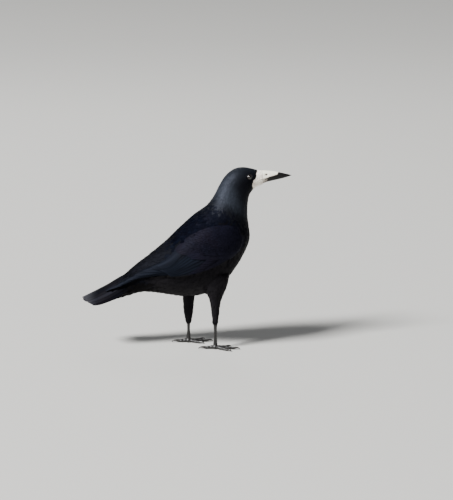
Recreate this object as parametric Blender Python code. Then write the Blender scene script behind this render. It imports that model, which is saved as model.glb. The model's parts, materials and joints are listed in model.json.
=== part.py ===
"""A standing rook, life size, as a still museum model.

Units are metres, +Z is up and the bird faces +X. The origin is on the floor under the middle of the
bird. Sizes are written in millimetres and turned to metres by MM.

The feathered form is lofted from stations. A station is a cut across the bird, given by the point on
its upper outline, the point on its lower outline and its half width. The whole body is lofted as one
form and then parted into head, neck, trunk and rump by thin cuts. The wings and the tail are curved
shells that lie on that form, so they are lofted as arcs and then trimmed by it.
"""

import math
from dataclasses import dataclass

import bmesh
import bpy
from mathutils import Matrix, Vector

MM = 0.001
GAP = 0.3  # clear space between neighbouring pieces

# Where the legs stand: the right foot is a step ahead of the left one.
FOOT_SIDE = 24.0
RIGHT_FOOT_X = 51.0
LEFT_FOOT_X = 3.0
ANKLE_HEIGHT = 47.0

# The tables of the body, wings, tail, head and bill give heights for a bird that crouches. Standing
# up lifts all of them by this.
STANDING_LIFT = 24.0
FOOT_HEIGHT = 7.0

# The eyes, and the tip of the bill.
EYE_PLACE = (110.6, 12.6, 281.8)
EYE_RADIUS = 5.0
BILL_TIP = (184.2, 283.2)

# Planes that part the body, as a point on the midline and the pitch of the plane's forward normal.
FEATHER_EDGE = ((120.5, 276.5), -13.5)
NAPE_CUT = ((88.0, 255.0), 42.0)
SHOULDER_CUT = ((70.0, 214.0), 62.0)
RUMP_CUT = ((-62.0, 105.0), 40.0)


@dataclass(frozen=True)
class Station:
    """A cut across the body. Top and bottom are (x, z) on the midline."""

    top: tuple
    bottom: tuple
    half_width: float
    widest: float = 0.5  # where between top and bottom the cut is widest
    square: float = 2.1  # 2 is an ellipse, more is boxier


@dataclass(frozen=True)
class Arc:
    """A cut across a wing or the tail: a stretch of the outline of a station, and its thickness."""

    top: tuple
    bottom: tuple
    half_width: float
    start: float  # degrees round from the top
    end: float
    thick: float
    tuck: float = 0.0  # how far the upper edge sinks towards the body


BODY = (
    Station((131.2, 291.9), (131.2, 266.8), 8.8, 0.5, 2.2),
    Station((124.2, 292.3), (121.0, 261.8), 11.6, 0.5, 2.2),
    Station((114.5, 294.8), (115.2, 255.8), 15.6, 0.5, 2.2),
    Station((99.5, 297.2), (111.5, 250.5), 19.6, 0.52, 2.2),
    Station((84.0, 294.3), (109.3, 243.5), 21.4, 0.52, 2.1),
    Station((69.0, 282.5), (108.0, 234.0), 22.6, 0.5, 2.0),
    Station((58.0, 265.0), (107.4, 221.5), 25.0, 0.5, 2.0),
    Station((48.5, 246.0), (107.8, 207.0), 30.0, 0.5, 2.0),
    Station((35.5, 228.8), (110.2, 189.0), 37.5, 0.52, 2.1),
    Station((14.0, 213.5), (110.5, 165.0), 44.0, 0.52, 2.2),
    Station((-13.0, 189.0), (90.0, 124.0), 47.5, 0.5, 2.2),
    Station((-38.0, 164.5), (52.0, 78.0), 46.0, 0.5, 2.1),
    Station((-62.0, 144.8), (0.0, 67.6), 38.5, 0.5, 2.0),
    Station((-84.0, 127.5), (-37.0, 72.0), 30.0, 0.52, 2.0),
    Station((-106.0, 108.5), (-76.0, 75.6), 23.5, 0.55, 2.0),
    Station((-124.0, 91.0), (-104.0, 67.8), 19.0, 0.6, 2.0),
    Station((-138.0, 76.0), (-128.0, 61.0), 14.5, 0.55, 2.0),
    Station((-148.0, 66.5), (-144.0, 57.0), 7.0, 0.5, 2.0),
)
BODY_SIDES = 26
BODY_RINGS = 38

WING = (
    Arc((30.0, 226.0), (111.0, 185.0), 40.0, 106.0, 126.0, 3.0, 1.5),
    Arc((17.0, 216.0), (111.5, 169.0), 48.5, 70.0, 138.0, 7.0, 3.0),
    Arc((-2.0, 200.0), (100.5, 140.5), 53.5, 46.0, 137.0, 9.0, 4.5),
    Arc((-18.0, 184.5), (82.0, 113.5), 54.5, 37.0, 119.0, 9.0, 4.5),
    Arc((-38.0, 165.5), (51.0, 79.0), 52.0, 46.0, 97.5, 8.0, 3.5),
    Arc((-54.0, 152.0), (18.0, 69.0), 47.0, 50.0, 88.0, 7.0, 1.5),
    Arc((-78.0, 133.0), (-27.0, 71.0), 38.5, 47.0, 79.0, 6.0),
    Arc((-98.0, 117.5), (-58.0, 76.0), 31.0, 44.0, 72.0, 5.0),
    Arc((-122.0, 100.0), (-99.0, 68.0), 26.5, 43.0, 71.0, 4.0),
    Arc((-141.0, 88.0), (-124.0, 60.0), 24.5, 42.0, 62.0, 3.2),
    Arc((-151.5, 82.0), (-136.0, 54.0), 23.5, 46.0, 53.0, 2.6),
)
WING_RINGS = 25
WING_STEPS = 9

TAIL = (
    Arc((-92.0, 113.0), (-70.0, 70.0), 18.0, 0.0, 88.0, 6.0),
    Arc((-116.0, 101.0), (-95.0, 54.0), 21.5, 0.0, 88.0, 5.4),
    Arc((-140.0, 86.2), (-120.0, 42.5), 24.5, 0.0, 86.0, 4.6),
    Arc((-164.0, 73.4), (-147.0, 39.0), 26.5, 0.0, 84.0, 3.8),
    Arc((-178.0, 66.3), (-164.0, 39.5), 23.5, 0.0, 78.0, 3.0),
    Arc((-184.6, 62.9), (-174.0, 42.5), 11.0, 0.0, 68.0, 2.0),
)
TAIL_RINGS = 14
TAIL_STEPS = 6
TAIL_SWEEP = 15.0  # how far the outer feathers stop short of the middle ones

# Feathered leg: height over the floor, how far the middle is ahead of the ankle, half length fore
# and aft, and half width.
THIGH = (
    (136.0, 1.0, 24.0, 15.0),
    (120.0, 0.5, 22.5, 14.0),
    (106.0, 0.0, 17.5, 12.5),
    (94.0, 0.3, 12.0, 10.0),
    (83.0, 0.3, 9.0, 8.0),
    (71.0, 0.2, 7.4, 6.8),
    (59.0, 0.0, 6.1, 5.7),
    (ANKLE_HEIGHT, 0.0, 4.4, 4.2),
)
LEFT_LOOSENESS = 0.3  # how much looser the feathers of the trailing left leg hang
LEFT_HANG = 9.0  # how much lower they hang
# Bare leg: height as a share of the shank, half length fore and aft, and half width.
SHANK = (
    (1.0, 3.6, 3.4),
    (0.9, 3.5, 3.2),
    (0.72, 2.8, 2.3),
    (0.3, 2.7, 2.2),
    (0.1, 3.2, 3.0),
    (0.0, 4.0, 4.0),
)


@dataclass(frozen=True)
class Toe:
    """One toe: its number, its turn from straight ahead to the outer side, and its sizes."""

    number: int
    turn: float
    length: float
    root_radius: float
    tip_radius: float
    claw: float


TOES = (
    Toe(1, 180.0, 18.0, 3.3, 2.6, 12.5),
    Toe(2, -32.0, 23.0, 3.0, 2.2, 9.0),
    Toe(3, 0.0, 34.0, 3.2, 2.3, 10.5),
    Toe(4, 30.0, 27.0, 3.0, 2.1, 9.0),
)
TOE_OUT = 6.0  # the foot turns out by this
TOE_SIDES = 8
CLAW_SIDES = 8

# Bill: share of the way from base to tip, culmen height, lower edge height and half width.
BILL_BASE_X = 131.5
BILL = (
    (0.00, 292.2, 267.6, 9.0),
    (0.22, 291.7, 271.8, 7.4),
    (0.50, 289.8, 275.2, 5.2),
    (0.75, 287.0, 278.4, 3.3),
    (0.93, 284.6, 281.4, 1.5),
    (1.00, 283.6, 282.9, 0.5),
)
BILL_RINGS = 12
BILL_SIDES = 12
BITE = ((0.0, 276.4), (0.25, 280.0), (0.55, 281.6), (1.0, 283.2))  # share of the way, height
NOSTRIL = (140.5, 6.7, 285.2)
NOSTRIL_SIZE = (2.1, 1.5, 1.3)

PLUMAGE = (0.010, 0.011, 0.016)
FLIGHT = (0.013, 0.014, 0.020)
BARE_SKIN = (0.55, 0.52, 0.47)
HORN = (0.055, 0.050, 0.047)
LEG = (0.022, 0.021, 0.022)
EYE = (0.018, 0.012, 0.009)


def clear_scene():
    """Remove every object of the scene that the file opens with."""
    for obj in list(bpy.data.objects):
        bpy.data.objects.remove(obj)


def new_collection(name):
    found = bpy.data.collections.new(name)
    bpy.context.scene.collection.children.link(found)
    return found


def material(name, colour, roughness):
    made = bpy.data.materials.new(name)
    made.use_nodes = True
    shader = made.node_tree.nodes["Principled BSDF"]
    shader.inputs["Base Color"].default_value = (*colour, 1.0)
    shader.inputs["Roughness"].default_value = roughness
    shader.inputs["Metallic"].default_value = 0.0
    return made


def spline(keys, share):
    """The row at this share of the way through rows of numbers, on a smooth curve through them all."""
    place = share * (len(keys) - 1)
    i = min(int(place), len(keys) - 2)
    t = place - i
    before, low, high, after = (keys[max(0, min(len(keys) - 1, i + k))] for k in (-1, 0, 1, 2))
    row = []
    for a, b, c, d in zip(before, low, high, after):
        row.append(
            b
            + 0.5 * t * (c - a)
            + t * t * (a - 2.5 * b + 2.0 * c - 0.5 * d)
            + t * t * t * (1.5 * (b - c) + 0.5 * (d - a))
        )
    return row


def along(table, share):
    """The values at this share, from rows that start with their own share, on straight lines."""
    for low, high in zip(table, table[1:]):
        if share <= high[0]:
            t = (share - low[0]) / (high[0] - low[0])
            return [a + t * (b - a) for a, b in zip(low[1:], high[1:])]
    return list(table[-1][1:])


def outline_point(top, bottom, half_width, widest, square, angle):
    """A point round a cut, in millimetres. Angle 0 is the top, and +90 degrees is the +Y side."""
    across = math.sin(angle)
    upright = math.cos(angle)
    middle = [a + widest * (b - a) for a, b in zip(top, bottom)]
    end = top if upright > 0 else bottom
    reach = abs(upright) ** (2.0 / square)
    x, z = (m + reach * (e - m) for m, e in zip(middle, end))
    y = math.copysign(half_width * abs(across) ** (2.0 / square), across)
    return Vector((x, y, z))


def mesh_object(name, bm, home, finish):
    """A new object in the collection, from a bmesh in millimetres, which is used up."""
    bmesh.ops.remove_doubles(bm, verts=bm.verts, dist=0.01)
    bmesh.ops.recalc_face_normals(bm, faces=bm.faces)
    bmesh.ops.scale(bm, vec=(MM, MM, MM), verts=bm.verts)
    mesh = bpy.data.meshes.new(name)
    bm.to_mesh(mesh)
    bm.free()
    mesh.shade_smooth()
    mesh.set_sharp_from_angle(angle=math.radians(50))
    mesh.materials.append(finish)
    obj = bpy.data.objects.new(name, mesh)
    home.objects.link(obj)
    return obj


def loft(rings):
    """A closed bmesh through rings of points, each ring with the same number of points."""
    bm = bmesh.new()
    loops = [[bm.verts.new(point) for point in ring] for ring in rings]
    count = len(loops[0])
    for near, far in zip(loops, loops[1:]):
        for k in range(count):
            n = (k + 1) % count
            bm.faces.new((near[k], near[n], far[n], far[k]))
    bm.faces.new(loops[0])
    bm.faces.new(reversed(loops[-1]))
    return bm


def cutter(obj, home, swell=GAP):
    """A hidden copy of an object, grown by swell, that trims its neighbours clear of it."""
    mesh = obj.data.copy()
    moves = [vertex.co + vertex.normal * (swell * MM) for vertex in mesh.vertices]
    for vertex, place in zip(mesh.vertices, moves):
        vertex.co = place
    made = bpy.data.objects.new(obj.name + "_cutter", mesh)
    made.hide_render = True
    made.display_type = "WIRE"
    home.objects.link(made)
    return made


def combine(obj, other, operation="DIFFERENCE"):
    """Cut other from obj, or join it on, and keep the result in obj's own mesh."""
    step = obj.modifiers.new(operation.title(), "BOOLEAN")
    step.operation = operation
    step.object = other
    bpy.context.view_layer.update()
    graph = bpy.context.evaluated_depsgraph_get()
    made = bpy.data.meshes.new_from_object(obj.evaluated_get(graph))
    obj.modifiers.clear()
    obj.data = made


def lift(objects, height):
    """Raise the meshes of these objects."""
    for obj in objects:
        obj.data.transform(Matrix.Translation((0.0, 0.0, height * MM)))


def keep_largest(obj):
    """Leave only the largest body of a mesh, without the crumbs that a cut leaves."""
    bm = bmesh.new()
    bm.from_mesh(obj.data)
    bmesh.ops.remove_doubles(bm, verts=bm.verts, dist=0.02 * MM)
    left = set(bm.verts)
    bodies = []
    while left:
        front = [left.pop()]
        body = list(front)
        while front:
            vertex = front.pop()
            for edge in vertex.link_edges:
                other = edge.other_vert(vertex)
                if other in left:
                    left.remove(other)
                    front.append(other)
                    body.append(other)
        bodies.append(body)
    bodies.sort(key=len)
    crumbs = [vertex for body in bodies[:-1] for vertex in body]
    bmesh.ops.delete(bm, geom=crumbs, context="VERTS")
    bm.to_mesh(obj.data)
    bm.free()


def part_off(whole, name, home, finish, ahead=(), behind=()):
    """The piece of whole that lies behind every plane of ahead, and in front of every one of behind."""
    bm = bmesh.new()
    bm.from_mesh(whole.data)
    for plane, side in [(plane, 1.0) for plane in ahead] + [(plane, -1.0) for plane in behind]:
        (x, z), pitch = plane
        tilt = math.radians(pitch)
        normal = Vector((math.cos(tilt), 0.0, math.sin(tilt)))
        place = Vector((x, 0.0, z)) * MM - normal * (side * 0.5 * GAP * MM)
        bmesh.ops.bisect_plane(
            bm,
            geom=bm.verts[:] + bm.edges[:] + bm.faces[:],
            dist=1e-7,
            plane_co=place,
            plane_no=normal * side,
            clear_outer=True,
        )
        rim = [edge for edge in bm.edges if edge.is_boundary]
        bmesh.ops.holes_fill(bm, edges=rim, sides=0)
    bmesh.ops.scale(bm, vec=(1 / MM, 1 / MM, 1 / MM), verts=bm.verts)
    return mesh_object(name, bm, home, finish)


def mirrored(obj, name, home):
    """The piece for the other side of the bird."""
    mesh = obj.data.copy()
    for vertex in mesh.vertices:
        vertex.co.y = -vertex.co.y
    mesh.flip_normals()
    made = bpy.data.objects.new(name, mesh)
    home.objects.link(made)
    return made


def make_body(home, finish):
    """The whole feathered form from the bill to the tail coverts."""
    keys = [(*s.top, *s.bottom, s.half_width, s.widest, s.square) for s in BODY]
    rings = []
    for i in range(BODY_RINGS + 1):
        tx, tz, bx, bz, wide, widest, square = spline(keys, i / BODY_RINGS)
        angles = [2 * math.pi * k / BODY_SIDES for k in range(BODY_SIDES)]
        ring = [outline_point((tx, tz), (bx, bz), wide, widest, square, a) for a in angles]
        rings.append(ring)
    return mesh_object("body", loft(rings), home, finish)


def shell_ring(values, steps, both_sides):
    """The closed ring of a shell: its outer arc, and its inner arc back again."""
    tx, tz, bx, bz, wide, start, end, thick, tuck = values
    first = -end if both_sides else start
    outer, inner = [], []
    for k in range(steps + 1):
        turn = math.radians(first + (end - first) * k / steps)
        edge = min(k, steps - k) / steps
        depth = thick * min(1.0, 0.45 + 2.6 * edge)
        point = outline_point((tx, tz), (bx, bz), wide, 0.5, 2.1, turn)
        middle = Vector(((tx + bx) / 2, 0.0, (tz + bz) / 2))
        inward = (middle - point).normalized()
        point += inward * (tuck * max(0.0, 1.0 - 3.0 * k / steps) ** 2)
        outer.append(point)
        inner.append(point + inward * depth)
    return outer + inner[::-1]


def make_wing(home, finish):
    """The left wing, folded: shoulder, coverts and flight feathers as one curved shell."""
    keys = [(*a.top, *a.bottom, a.half_width, a.start, a.end, a.thick, a.tuck) for a in WING]
    rings = [
        shell_ring(spline(keys, i / WING_RINGS), WING_STEPS, False) for i in range(WING_RINGS + 1)
    ]
    return mesh_object("wing_left", loft(rings), home, finish)


def make_tail(home, finish):
    """The closed tail, roofed along its middle, with its outer feathers shorter."""
    keys = [(*a.top, *a.bottom, a.half_width, a.start, a.end, a.thick, a.tuck) for a in TAIL]
    rings = []
    for i in range(TAIL_RINGS + 1):
        share = i / TAIL_RINGS
        values = spline(keys, share)
        ring = shell_ring(values, 2 * TAIL_STEPS, True)
        for point in ring:
            point.x += share * TAIL_SWEEP * (point.y / TAIL[3].half_width) ** 2
        rings.append(ring)
    return mesh_object("tail", loft(rings), home, finish)


def bill_half(name, upper, home, finish):
    """The upper or lower half of the bill, flat where the two halves meet."""
    rings = []
    for i in range(BILL_RINGS + 1):
        share = i / BILL_RINGS
        x = BILL_BASE_X + share * (BILL_TIP[0] - BILL_BASE_X)
        culmen, lower, wide = along(BILL, share)
        bite = along(BITE, share)[0] + (0.5 if upper else -0.5) * GAP
        rise = max(0.25, culmen - bite) if upper else -max(0.25, bite - lower)
        ring = []
        for k in range(BILL_SIDES + 1):
            turn = math.pi * k / BILL_SIDES
            side = wide * math.cos(turn)
            ring.append(Vector((x, side, bite + rise * math.sin(turn) ** 0.8)))
        rings.append(ring)
    return mesh_object(name, loft(rings), home, finish)


def make_eye(side, home, finish):
    bm = bmesh.new()
    bmesh.ops.create_uvsphere(bm, u_segments=14, v_segments=9, radius=EYE_RADIUS)
    place = Vector((EYE_PLACE[0], side * EYE_PLACE[1], EYE_PLACE[2]))
    bmesh.ops.translate(bm, vec=place, verts=bm.verts)
    return mesh_object("eye_left" if side > 0 else "eye_right", bm, home, finish)


def leg_ring(x, y, z, long, wide, sides):
    angles = [2 * math.pi * k / sides for k in range(sides)]
    return [Vector((x + long * math.cos(a), y + wide * math.sin(a), z)) for a in angles]


def make_thigh(side, foot_x, home, finish):
    """The feathered leg from inside the flank to the ankle."""
    rings = []
    for i in range(13):
        height, ahead, long, wide = spline(THIGH, i / 12)
        if side > 0:
            low = max(0.0, THIGH[2][0] - height) / (THIGH[2][0] - ANKLE_HEIGHT)
            height -= LEFT_HANG * low**2
            loose = 1.0 + LEFT_LOOSENESS * math.sin(0.9 * math.pi * low**2)
            long *= loose
            wide *= loose
        rings.append(leg_ring(foot_x + ahead, side * FOOT_SIDE, height, long, wide, 14))
    name = "thigh_left" if side > 0 else "thigh_right"
    return mesh_object(name, loft(rings), home, finish)


def make_shank(side, foot_x, home, finish):
    """The bare scaled leg from the ankle to the foot."""
    top = ANKLE_HEIGHT - (LEFT_HANG if side > 0 else 0.0) - GAP
    bottom = FOOT_HEIGHT + GAP
    rings = []
    for share, long, wide in SHANK:
        height = bottom + share * (top - bottom)
        rings.append(leg_ring(foot_x, side * FOOT_SIDE, height, long, wide, 10))
    return mesh_object("shank_left" if side > 0 else "shank_right", loft(rings), home, finish)


def toe_rings(toe, start, end, side, foot_x):
    """Rings of a toe, flat underneath, from one distance off the shank to another."""
    heading = math.radians(toe.turn + TOE_OUT) if toe.number > 1 else math.radians(toe.turn)
    ahead = Vector((math.cos(heading), side * math.sin(heading), 0.0))
    across = Vector((-ahead.y, ahead.x, 0.0))
    rings = []
    for i in range(6):
        share = i / 5
        reach = start + share * (end - start)
        radius = toe.root_radius + share * (toe.tip_radius - toe.root_radius)
        radius *= 1.0 + 0.09 * math.cos(6 * math.pi * share)
        middle = Vector((foot_x, side * FOOT_SIDE, 0.0)) + ahead * reach
        height = radius * 0.86 + 1.4 * (1.0 - share) ** 2
        ring = []
        for k in range(TOE_SIDES):
            turn = 2 * math.pi * (k + 0.5) / TOE_SIDES
            point = middle + across * (radius * math.cos(turn))
            point.z = min(FOOT_HEIGHT, max(0.0, height + radius * math.sin(turn)))
            ring.append(point)
        rings.append(ring)
    return rings, ahead, across


def make_foot(side, foot_x, home, finish):
    """The foot: the pad under the shank and four toes, joined."""
    bm = bmesh.new()
    bmesh.ops.create_uvsphere(bm, u_segments=12, v_segments=8, radius=1.0)
    for vertex in bm.verts:
        vertex.co.x = foot_x + 5.6 * vertex.co.x
        vertex.co.y = side * FOOT_SIDE + 5.4 * vertex.co.y
        vertex.co.z = min(FOOT_HEIGHT, max(0.0, 3.4 + 4.6 * vertex.co.z))
    name = "foot_left" if side > 0 else "foot_right"
    foot = mesh_object(name, bm, home, finish)
    for toe in TOES:
        rings, _, _ = toe_rings(toe, 0.5, toe.length, side, foot_x)
        piece = mesh_object("toe", loft(rings), home, finish)
        combine(foot, piece, "UNION")
        bpy.data.objects.remove(piece)
    keep_largest(foot)
    return foot


def make_claw(toe, side, foot_x, home, finish):
    """A claw: a cone that curves down from the toe's tip to the floor."""
    rings, ahead, across = toe_rings(toe, 0.5, toe.length, side, foot_x)
    base = sum(rings[-1], Vector()) / TOE_SIDES + ahead * GAP
    base.z = toe.tip_radius * 1.05
    claw = []
    for i in range(6):
        share = i / 5
        bend = math.radians(64 * share)
        middle = base + ahead * (toe.claw * math.sin(math.radians(82) * share))
        middle.z = base.z + 1.1 * math.sin(math.pi * share) - (base.z - 0.5) * share**1.6
        radius = 0.86 * toe.tip_radius * (1.0 - share) ** 0.8 + 0.22
        up = Vector((0, 0, 1)) * math.cos(bend) + ahead * math.sin(bend)
        ring = []
        for k in range(CLAW_SIDES):
            turn = 2 * math.pi * (k + 0.5) / CLAW_SIDES
            point = middle + across * (0.8 * radius * math.cos(turn)) + up * (radius * math.sin(turn))
            point.z = max(0.0, point.z)
            ring.append(point)
        claw.append(ring)
    word = "left" if side > 0 else "right"
    return mesh_object(f"claw_{word}_{toe.number}", loft(claw), home, finish)


def main():
    clear_scene()
    home = new_collection("rook")
    tools = new_collection("rook_cutters")
    plumage = material("body plumage", PLUMAGE, 0.5)
    flight = material("flight feathers", FLIGHT, 0.4)
    skin = material("bare face skin", BARE_SKIN, 0.6)
    horn = material("bill and claw horn", HORN, 0.35)
    scales = material("leg scales", LEG, 0.45)
    wet = material("eye", EYE, 0.05)

    body = make_body(tools, plumage)
    body.hide_render = True
    body.display_type = "WIRE"
    body_cutter = cutter(body, tools)

    part_off(body, "face", home, skin, (), (FEATHER_EDGE, NAPE_CUT))
    head = part_off(body, "head", home, plumage, (FEATHER_EDGE,), (NAPE_CUT,))
    part_off(body, "neck", home, plumage, (NAPE_CUT,), (SHOULDER_CUT,))
    part_off(body, "trunk", home, plumage, (SHOULDER_CUT,), (RUMP_CUT,))
    part_off(body, "rump", home, plumage, (RUMP_CUT,))

    upper = bill_half("upper_bill", True, home, horn)
    bill_half("lower_bill", False, home, horn)
    for side in (1, -1):
        bm = bmesh.new()
        bmesh.ops.create_uvsphere(bm, u_segments=10, v_segments=6, radius=1.0)
        for vertex in bm.verts:
            for i in range(3):
                place = NOSTRIL[i] * (side if i == 1 else 1)
                vertex.co[i] = place + NOSTRIL_SIZE[i] * vertex.co[i]
        pit = mesh_object("nostril_cutter", bm, tools, horn)
        pit.hide_render = True
        pit.display_type = "WIRE"
        combine(upper, pit)
        eye = make_eye(side, home, wet)
        combine(head, cutter(eye, tools))

    tail = make_tail(home, flight)
    combine(tail, body_cutter)
    keep_largest(tail)
    wing_left = make_wing(home, flight)
    combine(wing_left, body_cutter)
    combine(wing_left, cutter(tail, tools))
    keep_largest(wing_left)
    wing_right = mirrored(wing_left, "wing_right", home)
    lift([*home.objects, *tools.objects], STANDING_LIFT)

    for side, foot_x, wing in ((1, LEFT_FOOT_X, wing_left), (-1, RIGHT_FOOT_X, wing_right)):
        thigh = make_thigh(side, foot_x, home, plumage)
        combine(thigh, body_cutter)
        combine(thigh, cutter(wing, tools))
        keep_largest(thigh)
        make_shank(side, foot_x, home, scales)
        make_foot(side, foot_x, home, scales)
        for toe in TOES:
            make_claw(toe, side, foot_x, home, horn)


main()
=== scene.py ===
"""Looks of a standing rook, life size: skin, plumage, bill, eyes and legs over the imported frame.

Units are metres, +Z is up, the bird faces +X and its left side is +Y. Sizes are written in
millimetres and turned to metres by MM. The coat form is one smooth surface made from the solids of
the flesh. The skin lies inside it, and every feather is a thin closed vane laid along it.
"""

import json
import logging
import math
from contextlib import contextmanager
from dataclasses import dataclass, field
from enum import Enum
from functools import partial
from typing import Callable, Iterator

import bmesh
import bpy
import numpy as np
from mathutils import Matrix, Vector, kdtree, noise
from mathutils.bvhtree import BVHTree

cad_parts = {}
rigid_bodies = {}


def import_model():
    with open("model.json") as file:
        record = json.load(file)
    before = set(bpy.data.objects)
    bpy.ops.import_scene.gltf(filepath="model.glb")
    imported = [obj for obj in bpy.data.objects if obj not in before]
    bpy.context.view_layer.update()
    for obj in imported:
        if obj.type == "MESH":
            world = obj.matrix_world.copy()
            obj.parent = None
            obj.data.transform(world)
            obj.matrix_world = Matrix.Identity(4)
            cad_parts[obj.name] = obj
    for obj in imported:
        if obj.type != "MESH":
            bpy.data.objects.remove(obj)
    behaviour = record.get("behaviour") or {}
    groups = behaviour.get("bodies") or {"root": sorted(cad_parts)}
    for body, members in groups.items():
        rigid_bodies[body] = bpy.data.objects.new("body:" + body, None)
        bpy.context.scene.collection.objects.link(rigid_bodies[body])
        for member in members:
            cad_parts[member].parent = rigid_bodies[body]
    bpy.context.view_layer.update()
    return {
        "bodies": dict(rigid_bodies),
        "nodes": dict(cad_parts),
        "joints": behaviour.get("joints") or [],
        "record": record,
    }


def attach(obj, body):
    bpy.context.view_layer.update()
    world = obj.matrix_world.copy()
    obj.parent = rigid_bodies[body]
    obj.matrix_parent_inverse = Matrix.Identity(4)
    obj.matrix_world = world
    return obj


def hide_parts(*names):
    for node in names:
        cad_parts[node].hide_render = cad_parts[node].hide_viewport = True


# Short names for types that recur
Array = np.ndarray
Chance = np.random.Generator
Mesh = bpy.types.Mesh
Piece = bpy.types.Object
Socket = bpy.types.NodeSocket

MM = 0.001
BODY = "root"
# Heights in the tables of body, wings, tail, head and bill are those of a crouching bird, and
# standing up lifts these pieces by this many millimetres. The tables of the legs are not lifted.
STANDING_LIFT = 24.0
EYE = (110.6, 12.6, 281.8)  # the left eye's middle, in millimetres
LOG = logging.getLogger("rook")
FLESH = ("face", "head", "neck", "trunk", "rump", "thigh_left", "thigh_right")


class Side(Enum):
    """The bird's own left and right."""

    LEFT = 1
    RIGHT = -1

    @property
    def word(self) -> str:
        """The side's name as the frame's nodes spell it."""
        return self.name.lower()


class Region(Enum):
    """What a stretch of the coat form belongs to, as the nodes of the frame's solids."""

    BODY = FLESH[:5]
    THIGH_LEFT = ("thigh_left",)
    THIGH_RIGHT = ("thigh_right",)
    WING_LEFT = ("wing_left",)
    WING_RIGHT = ("wing_right",)
    TAIL = ("tail",)


UNWRAP_LENGTH = 270.0  # millimetres of a wing that the unwrap's width stands for
THIGHS = (Region.THIGH_LEFT, Region.THIGH_RIGHT)
WINGS = (Region.WING_LEFT, Region.WING_RIGHT)


# ------------ Numbers and tables ------------


def unit(rows: Array) -> Array:
    """Each row scaled to length one."""
    return rows / np.maximum(np.linalg.norm(rows, axis=-1, keepdims=True), 1e-12)


def table_value(table: tuple, at: float | Array) -> float | Array:
    """Read a table of (place, value) rows, in rising order of place, on straight lines."""
    return np.interp(at, *zip(*table))


def smooth_value(table: tuple, at: Array) -> Array:
    """Read a table of (place, value) rows, in rising order of place, on a smooth curve."""
    places, values = (np.array(column, float) for column in zip(*table))
    slopes = np.gradient(values, places)
    k = np.clip(np.searchsorted(places, at, "right") - 1, 0, len(places) - 2)
    gap = places[k + 1] - places[k]
    t = np.clip((at - places[k]) / gap, 0, 1)
    ahead = (1 + 2 * t) * (1 - t) ** 2 * values[k] + t**2 * (3 - 2 * t) * values[k + 1]
    lean = t * (1 - t) ** 2 * slopes[k] - t**2 * (1 - t) * slopes[k + 1]
    return ahead + gap * lean


def columns_at(table: tuple, at: Array) -> list[Array]:
    """Read every column of a table of (place, value, value...) rows on smooth curves."""
    return [smooth_value([(row[0], row[n]) for row in table], at) for n in range(1, len(table[0]))]


def ease(value: Array) -> Array:
    """A smooth step from 0 to 1."""
    held = np.clip(value, 0, 1)
    return held * held * (3 - 2 * held)


# ------------ Meshes and objects ------------


def make_active(*pieces: Piece) -> None:
    """Go to object mode, select these objects alone and make the first one active."""
    if bpy.context.mode != "OBJECT":
        bpy.ops.object.mode_set(mode="OBJECT")
    bpy.ops.object.select_all(action="DESELECT")
    for piece in pieces:
        piece.select_set(True)
    if pieces:
        bpy.context.view_layer.objects.active = pieces[0]


@contextmanager
def edit_mode(
    piece: Piece, kind: str = "VERT", chosen: Array | None = None
) -> Iterator[None]:
    """Edit an object's mesh with all of it selected, or only some edges or faces.

    Args:
        piece: the object.
        kind: EDGE or FACE, where only some are selected.
        chosen: for each edge or face, whether it is selected.
    """
    make_active(piece)
    bpy.ops.object.mode_set(mode="EDIT")
    bpy.ops.mesh.select_mode(type=kind)
    bpy.ops.mesh.select_all(action="SELECT" if chosen is None else "DESELECT")
    if chosen is not None:
        bpy.ops.object.mode_set(mode="OBJECT")
        elements = piece.data.edges if kind == "EDGE" else piece.data.polygons
        elements.foreach_set("select", chosen)
        bpy.ops.object.mode_set(mode="EDIT")
    yield
    bpy.ops.object.mode_set(mode="OBJECT")


def apply_modifier(piece: Piece, kind: str, **settings: object) -> None:
    """Add a modifier with these settings to an object and apply it."""
    make_active(piece)
    bpy.ops.object.modifier_add(type=kind)
    modifier = piece.modifiers[-1]
    for key, value in settings.items():
        setattr(modifier, key, value)
    bpy.ops.object.modifier_apply(modifier=modifier.name)


def settle(piece: Piece) -> None:
    """Put an object's place, turn and size into its mesh, so that it sits at the origin."""
    make_active(piece)
    bpy.ops.object.transform_apply(location=True, rotation=True, scale=True)


def new_object(name: str, data: bpy.types.ID) -> Piece:
    """An object with this data, linked to the scene."""
    made = bpy.data.objects.new(name, data)
    bpy.context.scene.collection.objects.link(made)
    return made


def just_added(name: str) -> Piece:
    """The object that an operator has just added, under its new name."""
    piece = bpy.context.object
    piece.name = piece.data.name = name
    return piece


def join(name: str, pieces: list[Piece]) -> Piece:
    """Join objects to one of this name."""
    make_active(*pieces)
    bpy.ops.object.join()
    return just_added(name)


def smooth_by_angle(mesh: Mesh, degrees: float) -> None:
    """Shade a mesh smooth, with sharp edges over an angle."""
    mesh.shade_smooth()
    mesh.set_sharp_from_angle(angle=math.radians(degrees))


def mesh_points(mesh: Mesh) -> Array:
    """The places of a mesh's vertices, one row each."""
    flat = np.empty(len(mesh.vertices) * 3, np.float32)
    mesh.vertices.foreach_get("co", flat)
    return flat.reshape(-1, 3).astype(float)


def set_points(mesh: Mesh, points: Array) -> None:
    """Put a mesh's vertices at these places."""
    mesh.vertices.foreach_set("co", points.astype(np.float32).ravel())


def point_values(mesh: Mesh, name: str, values: Array) -> None:
    """Store one number for each vertex."""
    layer = mesh.attributes.new(name, "FLOAT", "POINT")
    layer.data.foreach_set("value", values.astype(np.float32))


def search_tree(meshes: list[Mesh], lift: float = 0.0) -> BVHTree:
    """A search tree over the faces of some meshes, lowered by a lift in millimetres."""
    down = Vector((0.0, 0.0, lift * MM))
    points, faces = [], []
    for mesh in meshes:
        start = len(points)
        points += [vertex.co - down for vertex in mesh.vertices]
        faces += [[start + k for k in face.vertices] for face in mesh.polygons]
    return BVHTree.FromPolygons(points, faces)


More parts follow.
